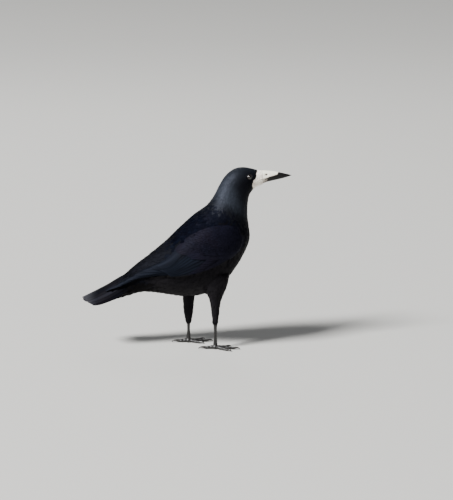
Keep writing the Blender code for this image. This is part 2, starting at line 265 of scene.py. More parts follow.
def sleeve(name: str, sides: int, rings: int, place: Callable) -> Piece:
    """Shape a closed tube: a cylinder cut into rings, whose points are then put in place.

    Args:
        name: the object's name.
        sides: how many sides it has.
        rings: how many stretches it has.
        place: gives the points, in millimetres, from three arrays: the share of the way along, the
            turn round, and the reach from the middle, which is 1 on the side and 0 inside a cap.

    Returns:
        The new object, with its faces outward.
    """
    make_active()
    bpy.ops.mesh.primitive_cylinder_add(
        vertices=sides, radius=1.0, depth=1.0, end_fill_type="TRIFAN"
    )
    piece = just_added(name)
    mesh = piece.data
    heights = mesh_points(mesh)[:, 2]
    ends = np.array([edge.vertices[:] for edge in mesh.edges])
    lengthwise = np.abs(heights[ends[:, 0]] - heights[ends[:, 1]]) > 0.5
    with edit_mode(piece, "EDGE", lengthwise):
        bpy.ops.mesh.subdivide(number_cuts=rings - 1)
    points = mesh_points(mesh)
    turn = np.arctan2(points[:, 1], points[:, 0])
    reach = np.minimum(1, np.hypot(points[:, 0], points[:, 1]))
    set_points(mesh, place(np.clip(points[:, 2] + 0.5, 0, 1), turn, reach) * MM)
    with edit_mode(piece):
        bpy.ops.mesh.normals_make_consistent(inside=False)
    return piece


def hand_over(
    piece: Piece,
    material: bpy.types.Material,
    slot: str,
    *nodes: str,
    lift: float = STANDING_LIFT,
) -> None:
    """Finish a piece: its material, its body and the solids that it stands for.

    Args:
        piece: the finished object.
        material: its finish.
        slot: the record's material slot; not used.
        *nodes: the frame nodes that it replaces.
        lift: how far to raise it, in millimetres.
    """
    mesh = piece.data
    mesh.transform(Matrix.Translation((0.0, 0.0, lift * MM)))
    mesh.materials.clear()
    mesh.materials.append(material)
    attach(piece, BODY)
    if nodes:
        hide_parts(*nodes)
    mesh.calc_loop_triangles()
    LOG.info("%s: %d triangles", piece.name, len(mesh.loop_triangles))


# ------------ Nodes ------------

def hex_linear(code: str) -> tuple[float, float, float, float]:
    """Turn an sRGB hex colour to linear RGBA.

    Args:
        code: six hex digits, with or without a leading #.

    Returns:
        The linear colour with full alpha.
    """
    parts = [int(code.lstrip("#")[k : k + 2], 16) / 255 for k in (0, 2, 4)]
    linear = [p / 12.92 if p <= 0.04045 else ((p + 0.055) / 1.055) ** 2.4 for p in parts]
    return (*linear, 1.0)


def fill(node: bpy.types.Node, inputs: dict) -> None:
    """Fill a node's inputs with values or hex colours, and link output sockets to them."""
    for key, value in inputs.items():
        if isinstance(value, Socket):
            node.id_data.links.new(value, node.inputs[key])
        else:
            colour = isinstance(value, str)
            node.inputs[key].default_value = hex_linear(value) if colour else value


def add_node(
    tree: bpy.types.NodeTree, kind: str, inputs: dict, stops: tuple = (), **settings: object
) -> bpy.types.Node:
    """Add a node with its settings, values and links.

    Args:
        tree: the material's node tree.
        kind: the node's type name, without its first word.
        inputs: values, hex colours, or output sockets to link, by input name or index.
        stops: for a colour ramp, its (position, hex colour) stops.
        **settings: the node's own properties.

    Returns:
        The new node.
    """
    node = tree.nodes.new(f"ShaderNode{kind}")
    for key, value in settings.items():
        setattr(node, key, value)
    if stops:
        ramp = node.color_ramp.elements
        while len(ramp) < len(stops):
            ramp.new(1.0)
        for element, (place, code) in zip(ramp, stops):
            element.position = place
            element.color = hex_linear(code)
    fill(node, inputs)
    return node


@dataclass(frozen=True)
class Nodes:
    """A material's node tree, with a short method for each kind of node that gives its output."""

    tree: bpy.types.NodeTree

    def mark(self, name: str) -> Socket:
        """The number that the mesh stores for each point under this name."""
        return add_node(self.tree, "Attribute", {}, attribute_name=name).outputs["Fac"]

    def place(self) -> Socket:
        """The place on the object, in metres."""
        return add_node(self.tree, "TexCoord", {}).outputs["Object"]

    def grain(self, place: Socket, scale: float, detail: float = 2.0) -> Socket:
        """Noise with this many turns in a metre."""
        inputs = {"Vector": place, "Scale": scale, "Detail": detail}
        return add_node(self.tree, "TexNoise", inputs).outputs[0]

    def cells(self, place: Socket, scale: float, feature: str = "DISTANCE_TO_EDGE") -> Socket:
        """How far it is to the edges of cells, or to their middles, this many in a metre."""
        inputs = {"Vector": place, "Scale": scale}
        return add_node(self.tree, "TexVoronoi", inputs, feature=feature).outputs["Distance"]

    def ramp(self, share: Socket, *stops: tuple) -> Socket:
        """A colour that runs through (position, hex colour) stops."""
        return add_node(self.tree, "ValToRGB", {0: share}, stops).outputs[0]

    def remap(
        self, value: Socket, low: float, high: float, to_low: float, to_high: float
    ) -> Socket:
        """A value carried from one range to another, and held inside it."""
        limits = {"From Min": low, "From Max": high, "To Min": to_low, "To Max": to_high}
        return add_node(self.tree, "MapRange", {"Value": value, **limits}).outputs[0]

    def mix(
        self, share: Socket | float, one: Socket | str, two: Socket | str, blend: str = "MIX"
    ) -> Socket:
        """One colour mixed with another, or multiplied by it."""
        inputs = {"Factor": share, "A": one, "B": two}
        node = add_node(self.tree, "Mix", inputs, data_type="RGBA", blend_type=blend)
        return node.outputs[2]

    def calc(self, operation: str, *values: Socket | float, held: bool = False) -> Socket:
        """The result of one operation of arithmetic, held between 0 and 1 if asked."""
        inputs = dict(enumerate(values))
        node = add_node(self.tree, "Math", inputs, operation=operation, use_clamp=held)
        return node.outputs[0]

    def bump(self, height: Socket, strength: float, distance: float) -> Socket:
        """A surface raised by a height, at most this many millimetres."""
        inputs = {"Height": height, "Strength": strength, "Distance": distance * MM}
        return add_node(self.tree, "Bump", inputs).outputs[0]


# ------------ Finishes ------------


@dataclass(frozen=True)
class Finish:
    """A surface finish. Each kind of surface fills in dress."""

    name: str

    def make(self) -> bpy.types.Material:
        """Build the material."""
        material = bpy.data.materials.new(self.name)
        material.use_nodes = True
        tree = material.node_tree
        fill(tree.nodes["Principled BSDF"], self.dress(Nodes(tree)))
        return material

    def dress(self, nodes: Nodes) -> dict:
        """Add the nodes, and give the shader's inputs: values, or sockets to link to them."""
        raise NotImplementedError


@dataclass(frozen=True)
class Plumage(Finish):
    """Keratin feathers black with melanin, whose thin outer film gives a blue-violet gloss."""

    dark: str = "#040406"
    light: str = "#0c0c11"
    brown: str = "#120e0e"
    # Pale colour of painted sheen and light, and of the belly's own brownish tone.
    bloom: str = "#282c33"
    gloss: str = "#aab0d8"
    level: float = 0.25
    roughness: float = 0.42
    sheen: float = 0.03
    sheen_tint: str = "#9a9dc0"
    wear: float = 0.5
    # How much darker a vane's edges are painted, as shade where one feather laps the next.
    edge: float = 0.35
    barbs_per_length: float = 26.0
    barb_bump: float = 0.16
    barb_slant: float = 0.45

    def dress(self, nodes: Nodes) -> dict:
        """Give each feather its own tone, painted sheen, painted shade at its edges, and fine barbs
        that slant back from its shaft.
        """
        tone, place = nodes.mark("tone"), nodes.place()
        # Wear turns patches of feathers 20 to 40 mm across faintly brown.
        worn = nodes.grain(place, 32.0)
        base = nodes.mix(tone, self.dark, self.light)
        mixed = nodes.mix(nodes.remap(worn, 0.45, 0.7, 0.0, self.wear), base, self.brown)
        # Painted sheen: a pale colour mixed in by a per-point mark on nape, rump and wings; on the
        # belly and thighs, the feathers' own brown.
        with_pale_and_sheen = nodes.mix(nodes.mark("bloom"), mixed, self.bloom)
        vane = add_node(nodes.tree, "UVMap", {}, uv_map="Vane").outputs[0]
        across, along, _ = add_node(nodes.tree, "SeparateXYZ", {0: vane}).outputs
        out = nodes.calc("ABSOLUTE", nodes.calc("SUBTRACT", across, 0.5))
        # Painted shade: the outer quarter of each half of a vane is darker, as the shadow where one
        # feather laps the next, so that one feather parts from the next.
        rim = nodes.remap(out, 0.36, 0.49, 1.0, 1.0 - self.edge)
        rim_shaded = nodes.mix(1.0, with_pale_and_sheen, rim, "MULTIPLY")
        # Barbs are drawn about 0.8 mm apart on a 20 mm feather, coarser than life, to show.
        run = nodes.calc("SUBTRACT", along, nodes.calc("MULTIPLY", out, self.barb_slant))
        wave = nodes.calc("SINE", nodes.calc("MULTIPLY", run, self.barbs_per_length * math.tau))
        return {
            "Base Color": rim_shaded,
            "Roughness": self.roughness,
            "IOR": 1.56,  # keratin
            "Specular IOR Level": self.level,
            "Specular Tint": self.gloss,
            "Sheen Weight": self.sheen,
            "Sheen Roughness": 0.45,
            "Sheen Tint": self.sheen_tint,
            "Normal": nodes.bump(wave, self.barb_bump, 0.12),
        }


@dataclass(frozen=True)
class BirdSkin(Finish):
    """Bare face skin, chalky and finely wrinkled, and dark skin under the feathers."""

    chalk: str = "#fcf8ec"
    pale: str = "#faf5e6"
    pink: str = "#f3e6dc"
    grey: str = "#dfd6ca"
    under: str = "#040405"

    def dress(self, nodes: Nodes) -> dict:
        """Mix scurfy pale skin where the bare attribute is one, and dark skin elsewhere."""
        bare, place = nodes.mark("bare"), nodes.place()
        # Blotches of 4 mm, pinker where the skin is thin.
        blotch = nodes.grain(place, 240.0, 4.0)
        stops = ((0.30, self.grey), (0.45, self.pink), (0.56, self.pale), (0.8, self.chalk))
        tint = nodes.ramp(blotch, *stops)
        # Creases enclose patches of 1.1 mm, and are painted darker, as shade in them.
        cells = nodes.cells(place, 900.0)
        crease_shaded = nodes.mix(1.0, tint, nodes.remap(cells, 0.0, 0.12, 0.84, 1.0), "MULTIPLY")
        return {
            "Base Color": nodes.mix(bare, self.under, crease_shaded),
            # The dark skin is duller, so that it doesn't shine between the feathers.
            "Roughness": nodes.remap(bare, 0.0, 1.0, 0.92, 0.62),
            "IOR": 1.42,  # dry skin
            "Specular IOR Level": 0.3,
            "Normal": nodes.bump(cells, 0.6, 0.4),
        }


@dataclass(frozen=True)
class BillHorn(Finish):
    """Bill sheath of worn horn: chalky grey-white at its base, black and smoother to the tip."""

    chalk: str = "#f8f2e2"
    pale: str = "#cfc6ba"
    middle: str = "#4d4440"
    dark: str = "#060404"

    def dress(self, nodes: Nodes) -> dict:
        """Shade by the dark attribute, broken by patches, with streaks along the grain."""
        place = nodes.place()
        # Grain lines run along the bill, about 0.7 mm apart, and patches are 3 mm across.
        scale = {"Vector": place, "Scale": (160.0, 1400.0, 1400.0)}
        grain = nodes.grain(add_node(nodes.tree, "Mapping", scale).outputs[0], 1.0, 3.0)
        patch = nodes.grain(place, 330.0, 4.0)
        mark = nodes.mark("dark")
        wander = nodes.remap(patch, 0.3, 0.7, -0.16, 0.16)
        share = nodes.calc("ADD", mark, wander, held=True)
        stops = ((0.06, self.chalk), (0.3, self.pale), (0.52, self.middle), (0.78, self.dark))
        colour = nodes.ramp(share, *stops)
        streak = nodes.remap(grain, 0.3, 0.7, 0.7, 1.0)
        return {
            "Base Color": nodes.mix(0.6, colour, streak, "MULTIPLY"),
            "Roughness": nodes.remap(share, 0.0, 1.0, 0.62, 0.46),
            "Specular IOR Level": 0.24,
            "IOR": 1.54,  # horn
            "Normal": nodes.bump(grain, 0.4, 0.4),
        }


@dataclass(frozen=True)
class LegScale(Finish):
    """Scaled leg skin: black, dry, with greyer edges where the scales meet."""

    dark: str = "#0a090a"
    middle: str = "#121113"
    edge: str = "#1d1a18"

    def dress(self, nodes: Nodes) -> dict:
        """Draw small rounded scales, about 1.2 mm across, between the large plates."""
        cells = nodes.cells(nodes.place(), 820.0)
        stops = ((0.0, self.edge), (0.12, self.dark), (1.0, self.middle))
        return {
            "Base Color": nodes.ramp(cells, *stops),
            "Roughness": 0.42,
            "IOR": 1.5,
            "Normal": nodes.bump(cells, 0.3, 0.2),
        }


@dataclass(frozen=True)
class ClawHorn(Finish):
    """Claw of black horn, polished on its back and scratched towards the tip."""

    dark: str = "#0c0b0c"
    worn: str = "#3a342f"

    def dress(self, nodes: Nodes) -> dict:
        """Streak the horn finely, 0.7 mm apart."""
        grain = nodes.grain(nodes.place(), 1500.0)
        colour = nodes.ramp(grain, (0.45, self.dark), (0.8, self.worn))
        return {"Base Color": colour, "Roughness": 0.28, "IOR": 1.54}


@dataclass(frozen=True)
class EyeGloss(Finish):
    """A wet eye: black pupil and dark brown iris under a clear, polished cornea."""

    pupil: str = "#010101"
    iris: str = "#160c08"
    outer: str = "#24140c"
    rim: str = "#060404"

    def dress(self, nodes: Nodes) -> dict:
        """Draw pupil, iris and rim outwards along the ring attribute."""
        stops = ((0.46, self.pupil), (0.54, self.iris), (0.74, self.outer), (0.86, self.rim))
        return {
            "Base Color": nodes.ramp(nodes.mark("ring"), *stops),
            "Roughness": 0.06,
            "IOR": 1.376,  # cornea
            "Coat Weight": 1.0,
            "Coat Roughness": 0.02,
        }


@dataclass(frozen=True)
class LidSkin(Finish):
    """Thin bare skin of the eyelid's rim, dark grey and beaded."""

    bead: str = "#2a2728"
    colour: str = "#111011"
    gap: str = "#0e0d0e"

    def dress(self, nodes: Nodes) -> dict:
        """Bead the rim, 0.5 mm apart."""
        beads = nodes.cells(nodes.place(), 1900.0, "F1")
        return {
            "Base Color": nodes.ramp(beads, (0.0, self.bead), (0.6, self.colour), (1.0, self.gap)),
            "Roughness": 0.5,
            "Normal": nodes.bump(beads, 0.5, 0.2),
        }


@dataclass(frozen=True)
class StudioFloor(Finish):
    """Matt painted studio floor, plain and pale."""

    colour: str = "#b9b8b4"

    def dress(self, nodes: Nodes) -> dict:
        """Plain matt paint."""
        return {"Base Color": self.colour, "Roughness": 0.85}


# ------------ The coat form and its coordinates ------------


@dataclass
class BodyChart:
    """Coordinates on the coat: how far along the body, and how far round it.

    Each section is the (x, z) of the upper outline and of the lower outline, from the bill's base
    to the end of the under-tail coverts, in millimetres.
    """

    sections: tuple = (
        ((131.2, 291.9), (131.2, 266.8)), ((124.2, 292.3), (121.0, 261.8)),
        ((114.5, 294.8), (115.2, 255.8)), ((99.5, 297.2), (111.5, 250.5)),
        ((84.0, 294.3), (109.3, 243.5)), ((69.0, 282.5), (108.0, 234.0)),
        ((58.0, 265.0), (107.4, 221.5)), ((48.5, 246.0), (107.8, 207.0)),
        ((35.5, 228.8), (110.2, 189.0)), ((14.0, 213.5), (110.5, 165.0)),
        ((-13.0, 189.0), (90.0, 124.0)), ((-38.0, 164.5), (52.0, 78.0)),
        ((-62.0, 144.8), (0.0, 67.6)), ((-84.0, 127.5), (-37.0, 72.0)),
        ((-106.0, 108.5), (-76.0, 75.6)), ((-124.0, 91.0), (-104.0, 67.8)),
        ((-138.0, 76.0), (-128.0, 61.0)), ((-148.0, 66.5), (-144.0, 57.0)),
    )
    fine: int = 12
    flow_reach: float = 0.6  # sections that the flow is taken over, each way
    steps: Array = field(init=False)
    top: Array = field(init=False)
    bottom: Array = field(init=False)

    def __post_init__(self) -> None:
        """Fill in the finer sections between the named ones."""
        count = len(self.sections)
        self.steps = np.linspace(0, count - 1, (count - 1) * self.fine + 1)
        rows = np.array([[*t, *b] for t, b in self.sections]) * MM
        smooth = np.stack([np.interp(self.steps, range(count), rows[:, k]) for k in range(4)], 1)
        kernel = np.ones(self.fine) / self.fine
        padded = np.pad(smooth, ((self.fine // 2, self.fine - 1 - self.fine // 2), (0, 0)), "edge")
        for k in range(4):
            smooth[:, k] = np.convolve(padded[:, k], kernel, "valid")
        self.top, self.bottom = smooth[:, :2], smooth[:, 2:]

    def locate(self, points: Array) -> tuple[Array, Array]:
        """Find where points lie.

        Args:
            points: rows of (x, y, z).

        Returns:
            The section numbers and the turns round from the top, in radians.
        """
        middle = (self.top + self.bottom) / 2
        up = unit(self.top - self.bottom)
        ahead = np.stack([up[:, 1], -up[:, 0]], 1)
        flat = points[:, (0, 2)]
        side = (flat @ ahead.T) - (middle * ahead).sum(1)
        crossing = (side[:, :-1] < 0) & (side[:, 1:] >= 0)
        far = np.linalg.norm(flat[:, None, :] - middle[None, :-1, :], axis=2)
        pick = np.where(crossing, far, far + 10.0).argmin(1)
        rows = np.arange(len(points))
        gap = side[rows, pick + 1] - side[rows, pick]
        share = np.where(np.abs(gap) > 1e-9, -side[rows, pick] / np.where(gap == 0, 1, gap), 0)
        place = np.clip(pick + np.clip(share, 0, 1), 0, len(self.steps) - 1)
        height = ((flat - middle[pick]) * up[pick]).sum(1)
        return place / self.fine, np.arctan2(points[:, 1], height)

    def flow(self, along: Array, turn: Array) -> Array:
        """The way that feathers lie, towards the tail, as unit vectors in the side plane."""
        weight = ((1 - np.cos(turn)) / 2)[:, None]
        low, high = (
            np.clip(along + reach, 0, self.steps[-1])
            for reach in (-self.flow_reach, self.flow_reach)
        )
        ways = []
        for line in (self.top, self.bottom):
            ends = [
                np.stack([np.interp(at, self.steps, line[:, k]) for k in (0, 1)], 1)
                for at in (low, high)
            ]
            ways.append(unit(ends[1] - ends[0]))
        way = unit((1 - weight) * ways[0] + weight * ways[1])
        return np.stack([way[:, 0], np.zeros(len(way)), way[:, 1]], 1)


@dataclass
class CoatForm:
    """One smooth surface over all the feathered solids, on which the feathers are laid."""

    frame: dict
    voxel: float = 1.7
    swell: float = 0.25
    smoothing: int = 7
    mesh: Mesh = field(init=False)
    tree: BVHTree = field(init=False)
    regions: dict = field(init=False)

    def __post_init__(self) -> None:
        """Join the solids, remesh them as one and index the result."""
        self.regions = {
            region: search_tree([self.solid(node) for node in region.value], STANDING_LIFT)
            for region in Region
        }
        nodes = (*FLESH, *(node for region in (*WINGS, Region.TAIL) for node in region.value))
        form = join("coat_form", [self.lowered(node) for node in nodes])
        apply_modifier(form, "DISPLACE", strength=self.swell * MM, mid_level=0.0)
        apply_modifier(form, "REMESH", mode="VOXEL", voxel_size=self.voxel * MM)
        apply_modifier(form, "SMOOTH", factor=0.5, iterations=self.smoothing)
        self.mesh = form.data
        bpy.data.objects.remove(form)
        self.tree = search_tree([self.mesh])

    def solid(self, node: str) -> Mesh:
        """The mesh of one of the frame's nodes."""
        return self.frame["nodes"][node].data

    def lowered(self, node: str) -> Piece:
        """A copy of a node, with its points merged, as low as a crouching bird's."""
        mesh = self.solid(node).copy()
        body = bmesh.new()
        body.from_mesh(mesh)
        bmesh.ops.remove_doubles(body, verts=body.verts, dist=1e-6)
        bmesh.ops.translate(body, verts=body.verts, vec=(0.0, 0.0, -STANDING_LIFT * MM))
        body.to_mesh(mesh)
        body.free()
        return new_object("coat_form", mesh)

    def region_at(self, point: Vector) -> Region:
        """The region whose solid is nearest to a point."""
        return min(self.regions, key=lambda region: self.regions[region].find_nearest(point)[3])

    def laid(self, points: Array, heights: Array) -> Array:
        """Drop points on the form and lift each off it, all in metres."""
        out = np.empty_like(points)
        find = self.tree.find_nearest
        for k, (point, height) in enumerate(zip(points.tolist(), heights.tolist())):
            place, normal, _, _ = find(point)
            out[k] = place + normal * height
        return out


# ------------ Feathers ------------


@dataclass(frozen=True)
class Vane:
    """The shape of one feather as a grid: a closed thin vane with a rounded, frayed tip."""

    rows: int = 5
    across: tuple = (0.0, 0.33, 0.66, 1.0)  # columns of one half, as shares of the half width
    root: float = 0.45  # width at the root, as a share of the widest
    tip: float = 0.6
    widest: float = 0.55  # where it is widest, as a share of its length
    rounding: float = 0.2  # how far the tip's corners fall short, as a share of its length
    fray: float = 0.03
    fringe: float = 0.1  # how far every second barb lock falls short at the tip
    thick: float = 0.09  # millimetres
    ridge: float = 0.0  # millimetres that the shaft stands up

    @property
    def columns(self) -> list[float]:
        """The grid's columns across the whole vane, from -1 to 1."""
        return [-share for share in self.across[::-1] if share] + list(self.across)

    def grid(self) -> tuple[Array, Array, Array, Array]:
        """Lay out the vane.

        Returns:
            For each point, its share across (-1 to 1), its share along and whether it is on the
            underside, and then the faces as rows of four points.
        """
        width = len(self.columns)
        u = np.tile(self.columns, self.rows + 1)
        v = np.repeat(np.linspace(0, 1, self.rows + 1) ** 0.85, width)
        index = np.arange(len(u)).reshape(self.rows + 1, width)
        below = index.copy()
        inner = index[1:-1, 1:-1]
        below[1:-1, 1:-1] = len(u) + np.arange(inner.size).reshape(inner.shape)
        under = np.repeat((0.0, 1.0), (len(u), inner.size))
        u, v = (np.concatenate([one, one[inner.ravel()]]) for one in (u, v))
        faces = []
        for top, way in ((index, 1), (below, -1)):
            quads = np.stack([top[:-1, :-1], top[:-1, 1:], top[1:, 1:], top[1:, :-1]], -1)
            faces.append(quads.reshape(-1, 4)[:, ::way])
        return u, v, under, np.concatenate(faces)

    def width_at(self, v: Array) -> Array:
        """The half width as a share of the widest, along the vane."""
        rise = np.clip(v / self.widest, 0, 1)
        fall = np.clip((v - self.widest) / (1 - self.widest), 0, 1)
        near = self.root + (1 - self.root) * np.sin(rise * math.pi / 2)
        return near - (1 - self.tip) * fall**2.0

    def reach_at(self, u: Array, v: Array, rng: Chance) -> Array:
        """How far along the feather its points reach, with its tip rounded and frayed."""
        odd = np.abs(u[:, None] - np.array(self.columns)).argmin(1) % 2
        late = np.clip((v - 0.72) / 0.28, 0, 1)  # only the last quarter is frayed
        loose = rng.uniform(-self.fray, self.fray, len(v)) - self.fringe * odd
        return v * (1 - self.rounding * np.abs(u) ** 2 * v**3) + loose * late

    def relief(
        self, u: Array, under: Array, steep: float = 6.0
    ) -> tuple[Array, Array]:
        """How far points stand up for the shaft's ridge, and how far down on the underside."""
        return self.ridge * (1 - np.minimum(1, np.abs(u) * steep)), self.thick * under


SILK = Vane(
    rows=4, across=(0.34, 1.0), tip=0.3, widest=0.42, rounding=0.24, fray=0.07, fringe=0.0,
    thick=0.06,
)
MEDIUM = Vane(tip=0.5, fringe=0.09)
LARGE = Vane(rows=6, across=(0.0, 0.25, 0.5, 0.76, 1.0), thick=0.11, ridge=0.05)
COVERT = Vane(
    rows=8, across=(0.0, 0.12, 0.4, 0.72, 1.0), root=0.5, fray=0.012, fringe=0.012, thick=0.14,
    ridge=0.12,
)
FLIGHT = Vane(
    rows=18, across=(0.0, 0.08, 0.3, 0.66, 1.0), root=0.7, tip=0.5, widest=0.7, rounding=0.06,
    fray=0.003, fringe=0.003, thick=0.3, ridge=0.3,
)


@dataclass
class FeatherMesh:
    """Gathers feathers and joins them to one mesh with its maps and tones."""

    name: str
    feathers: list = field(default_factory=list)
    count: int = 0

    def add(
        self,
        points: Array,
        grid: tuple,
        spot: tuple[float, float],
        tone: float,
        bloom: float | Array,
        patch: tuple[float, float] = (0.003, 0.003),
    ) -> None:
        """Add one feather.

        Args:
            points: its places in metres, in the grid's order.
            grid: the vane's grid.
            spot: the middle of its patch on the unwrap, 0 to 1 each way.
            tone: its own shade, 0 to 1.
            bloom: how pale it is painted, 0 to 1, as one number or one for each point; painted
                sheen and light, and the belly's own tone.
            patch: the patch's size.
        """
        u, v, _, faces = grid
        vane = np.stack([(u + 1) / 2, v], 1)
        unwrap = np.stack([spot[0] + u / 2 * patch[0], spot[1] + (v - 0.5) * patch[1]], 1)
        marks = (np.full(len(u), tone), np.zeros(len(u)) + bloom)
        self.feathers.append((points, faces + self.count, vane, unwrap, *marks))
        self.count += len(u)

    def build(self) -> Piece:
        """Join the feathers to a new object."""
        points, faces, *maps, tones, pale_and_sheen_marks = map(np.concatenate, zip(*self.feathers))
        mesh = bpy.data.meshes.new(self.name)
        mesh.vertices.add(len(points))
        set_points(mesh, points)
        mesh.loops.add(faces.size)
        mesh.loops.foreach_set("vertex_index", faces.astype(np.int32).ravel())
        mesh.polygons.add(len(faces))
        mesh.polygons.foreach_set("loop_start", np.arange(0, faces.size, 4, dtype=np.int32))
        mesh.update(calc_edges=True)
        for name, rows in zip(("Vane", "OFBake"), maps):
            values = rows[faces.ravel()].astype(np.float32)
            mesh.uv_layers.new(name=name).uv.foreach_set("vector", values.ravel())
        point_values(mesh, "tone", tones)
        point_values(mesh, "bloom", pale_and_sheen_marks)
        smooth_by_angle(mesh, 60)
        return new_object(self.name, mesh)


# ------------ Skin and body feathers ------------


@dataclass
class Skin:
    """The bird's skin, inside the coat by the coat's depth, and bare round the bill's base."""

    form: CoatForm
    chart: BodyChart
    finish: BirdSkin = BirdSkin("bare face skin, chalky, and dark skin under feathers")
    # (section, depth in millimetres)
    depths: tuple = ((0, 0.0), (1.4, 0.1), (2.2, 0.5), (4, 0.9), (6, 1.6), (8, 2.4), (17, 3.0))
    thin: float = 0.36  # the most that the skin sinks, as a share of the body's thickness there
    # Where the feathers begin: (height, distance ahead), in millimetres
    edge: tuple = (
        (250.0, 119.0), (260.6, 117.3), (266.4, 115.7), (274.5, 117.3), (281.3, 122.4),
        (292.3, 124.5), (300.0, 125.0),
    )
    socket: float = 0.7  # how deep the skin sinks round the eye
    socket_reach: float = 7.0  # how far from the eye's middle it starts to sink
    cheek: float = 7.0  # points nearer than this to the middle plane aren't beside an eye
    # Where the faces are cut finer: this far behind the feather edge, and this near to an eye
    fine_behind: float = 2.5
    fine_round_eye: float = 8.5
    rim_from: float = 124.0  # where the skin starts to reach forward over the bill
    rim_reach: float = 3.6  # how far it reaches
    bill_height: float = 279.6
    # The fold that runs back from the bill's bite: (distance ahead, height)
    fold: tuple = ((117.6, 270.0), (121.0, 271.6), (127.0, 274.8), (134.0, 277.6))
    fold_depth: float = 0.85
    fold_lip: float = 0.35
    # Rings round the eye: (distance from its middle, share of the height), in millimetres
    eye_rings: tuple = ((5.6, 1.0), (6.6, -0.7))
    ring_height: float = 0.2
    # The feather edge is frayed by noise: (turns in a metre, share), and how far it strays
    fray: tuple = ((900, 1.0), (260, 1.2))
    stray: float = 0.7

    def bare_by(self, points: Array) -> Array:
        """How far ahead of the feather edge points lie, in millimetres. Bare skin is above zero."""
        return points[:, 0] / MM - table_value(self.edge, points[:, 2] / MM)

    def from_eye(self, points: Array) -> Array:
        """How far points lie from the eyes, in millimetres, seen from the side."""
        x, z = points[:, 0] / MM - EYE[0], points[:, 2] / MM - EYE[2]
        return np.where(np.abs(points[:, 1]) > self.cheek * MM, np.hypot(x, z), 99.0)

    def build(self) -> None:
        """Make the skin from the coat form."""
        mesh = self.form.mesh.copy()
        mesh.name = "skin"
        points = mesh_points(mesh)
        normals = np.array([vertex.normal for vertex in mesh.vertices])
        along, _ = self.chart.locate(points)
        depth = np.where(self.bare_by(points) > 0.5, 0.0, table_value(self.depths, along))
        depth = depth + self.socket * ease((self.socket_reach - self.from_eye(points)) / 3.0)
        depth *= MM
        for k, (point, normal) in enumerate(zip(points, normals)):
            start = Vector(point - normal * 1e-4)
            _, _, _, far = self.form.tree.ray_cast(start, Vector(-normal))
            if far is not None:
                depth[k] = min(depth[k], self.thin * far)
        set_points(mesh, self.reach_bill(points - normals * depth[:, None]))
        piece = new_object("skin", mesh)
        apply_modifier(piece, "SMOOTH", factor=0.4, iterations=2)
        self.refine(piece)
        self.wrinkle(piece.data)
        points = mesh_points(piece.data)
        stray = [sum(share * noise.noise(Vector(p * n)) for n, share in self.fray) for p in points]
        bare = self.bare_by(points) + np.array(stray) * self.stray
        point_values(piece.data, "bare", ease(bare / 1.1 + 0.5))
        piece.data.shade_smooth()
        hand_over(piece, self.finish.make(), "plumage", *FLESH)

    def reach_bill(self, points: Array) -> Array:
        """Draw the skin's front forward over the bill's base, and a little closer to it."""
        share = ease((points[:, 0] / MM - self.rim_from) / 7.5)
        middle = np.array((0.0, self.bill_height)) * MM
        out = points.copy()
        out[:, 0] += share * self.rim_reach * MM
        out[:, 1:] = middle + (points[:, 1:] - middle) * (1 - 0.035 * share[:, None])
        return out

    def refine(self, piece: Piece) -> None:
        """Cut the faces finer where the skin is bare and round the eyes, and smooth the cuts."""
        centres = np.array([face.center for face in piece.data.polygons])
        near_bare = self.bare_by(centres) > -self.fine_behind
        near_eye = self.from_eye(centres) < self.fine_round_eye
        with edit_mode(piece, "FACE", near_bare | near_eye):
            bpy.ops.mesh.subdivide(number_cuts=3)
            bpy.ops.mesh.vertices_smooth(factor=0.5, repeat=4)

    def wrinkle(self, mesh: Mesh) -> None:
        """Raise fine wrinkles on the bare skin, and sink the fold behind the bite."""
        points = mesh_points(mesh)
        normals = np.array([vertex.normal for vertex in mesh.vertices])
        x, y, z = (points / MM).T
        first, last = self.fold[0][0], self.fold[-1][0]
        off = z - table_value(self.fold, x)
        along = ease((x - first + 1.5) / 2) * ease((last + 2 - x) / 2)
        lift = -self.fold_depth * np.exp(-((off / 0.5) ** 2)) * along
        lift += self.fold_lip * np.exp(-(((np.abs(off) - 1.5) / 0.7) ** 2)) * along
        bare = ease(self.bare_by(points) / 2 + 0.5)
        for k in np.flatnonzero(bare > 0.02):
            coarse = noise.noise(Vector((x[k] * 0.5, y[k] * 0.4, z[k] * 0.3)))
            fine = noise.noise(Vector((x[k] * 1.5, y[k] * 1.3, z[k] * 0.9)))
            lift[k] += bare[k] * (0.3 * coarse - 0.22 * abs(fine))
        away = self.from_eye(points)
        rings = (high * np.exp(-(((away - radius) / 0.5) ** 2)) for radius, high in self.eye_rings)
        lift += self.ring_height * sum(rings)
        set_points(mesh, points + normals * (lift * MM)[:, None])


# The lavender of the head and neck is painted sheen, laid on as a pale colour.
SILK_FINISH = Plumage(
    "head and neck feathers, dense black silk with lavender bloom",
    "#020203", "#07070a", "#08070a", gloss="#b9c0d8", level=0.13, roughness=0.48, sheen=0.02,
)
COLLAR_FINISH = Plumage(
    "collar and breast feathers, black with a violet gloss",
    "#020205", "#06070e", "#08060b", gloss="#98a2d2", level=0.05, roughness=0.55, sheen=0.0,
)
BACK_FINISH = Plumage(
    "back feathers, black with blue-violet gloss",
    "#020206", "#050710", "#07060b", gloss="#8f9bd0", level=0.02, roughness=0.62, sheen=0.0,
)
UNDER_FINISH = Plumage(
    "breast and belly feathers, matt black, brownish where the bloom lies",
    "#020204", "#07070a", "#0c0a0c", "#1e1c1e", "#b4b1bf", 0.08, 0.57, 0.02, "#a19a98",
)
RUMP_FINISH = Plumage(
    "rump feathers, matt black",
    "#020203", "#050508", "#080709", "#1e2026", "#a9aec8", 0.04, 0.56, sheen=0.0,
)
VENT_FINISH = Plumage(
    "feathers under the tail, matt black",
    "#020202", "#060506", "#0a0808", "#141212", "#c0bcc2", 0.06, 0.6, sheen=0.0,
)


@dataclass
class Root:
    """Where a body feather grows, and the way that it points."""

    place: Array  # metres
    region: Region
    along: float  # section
    turn: float  # radians round from the top
    normal: Array | None = None
    flow: Array | None = None


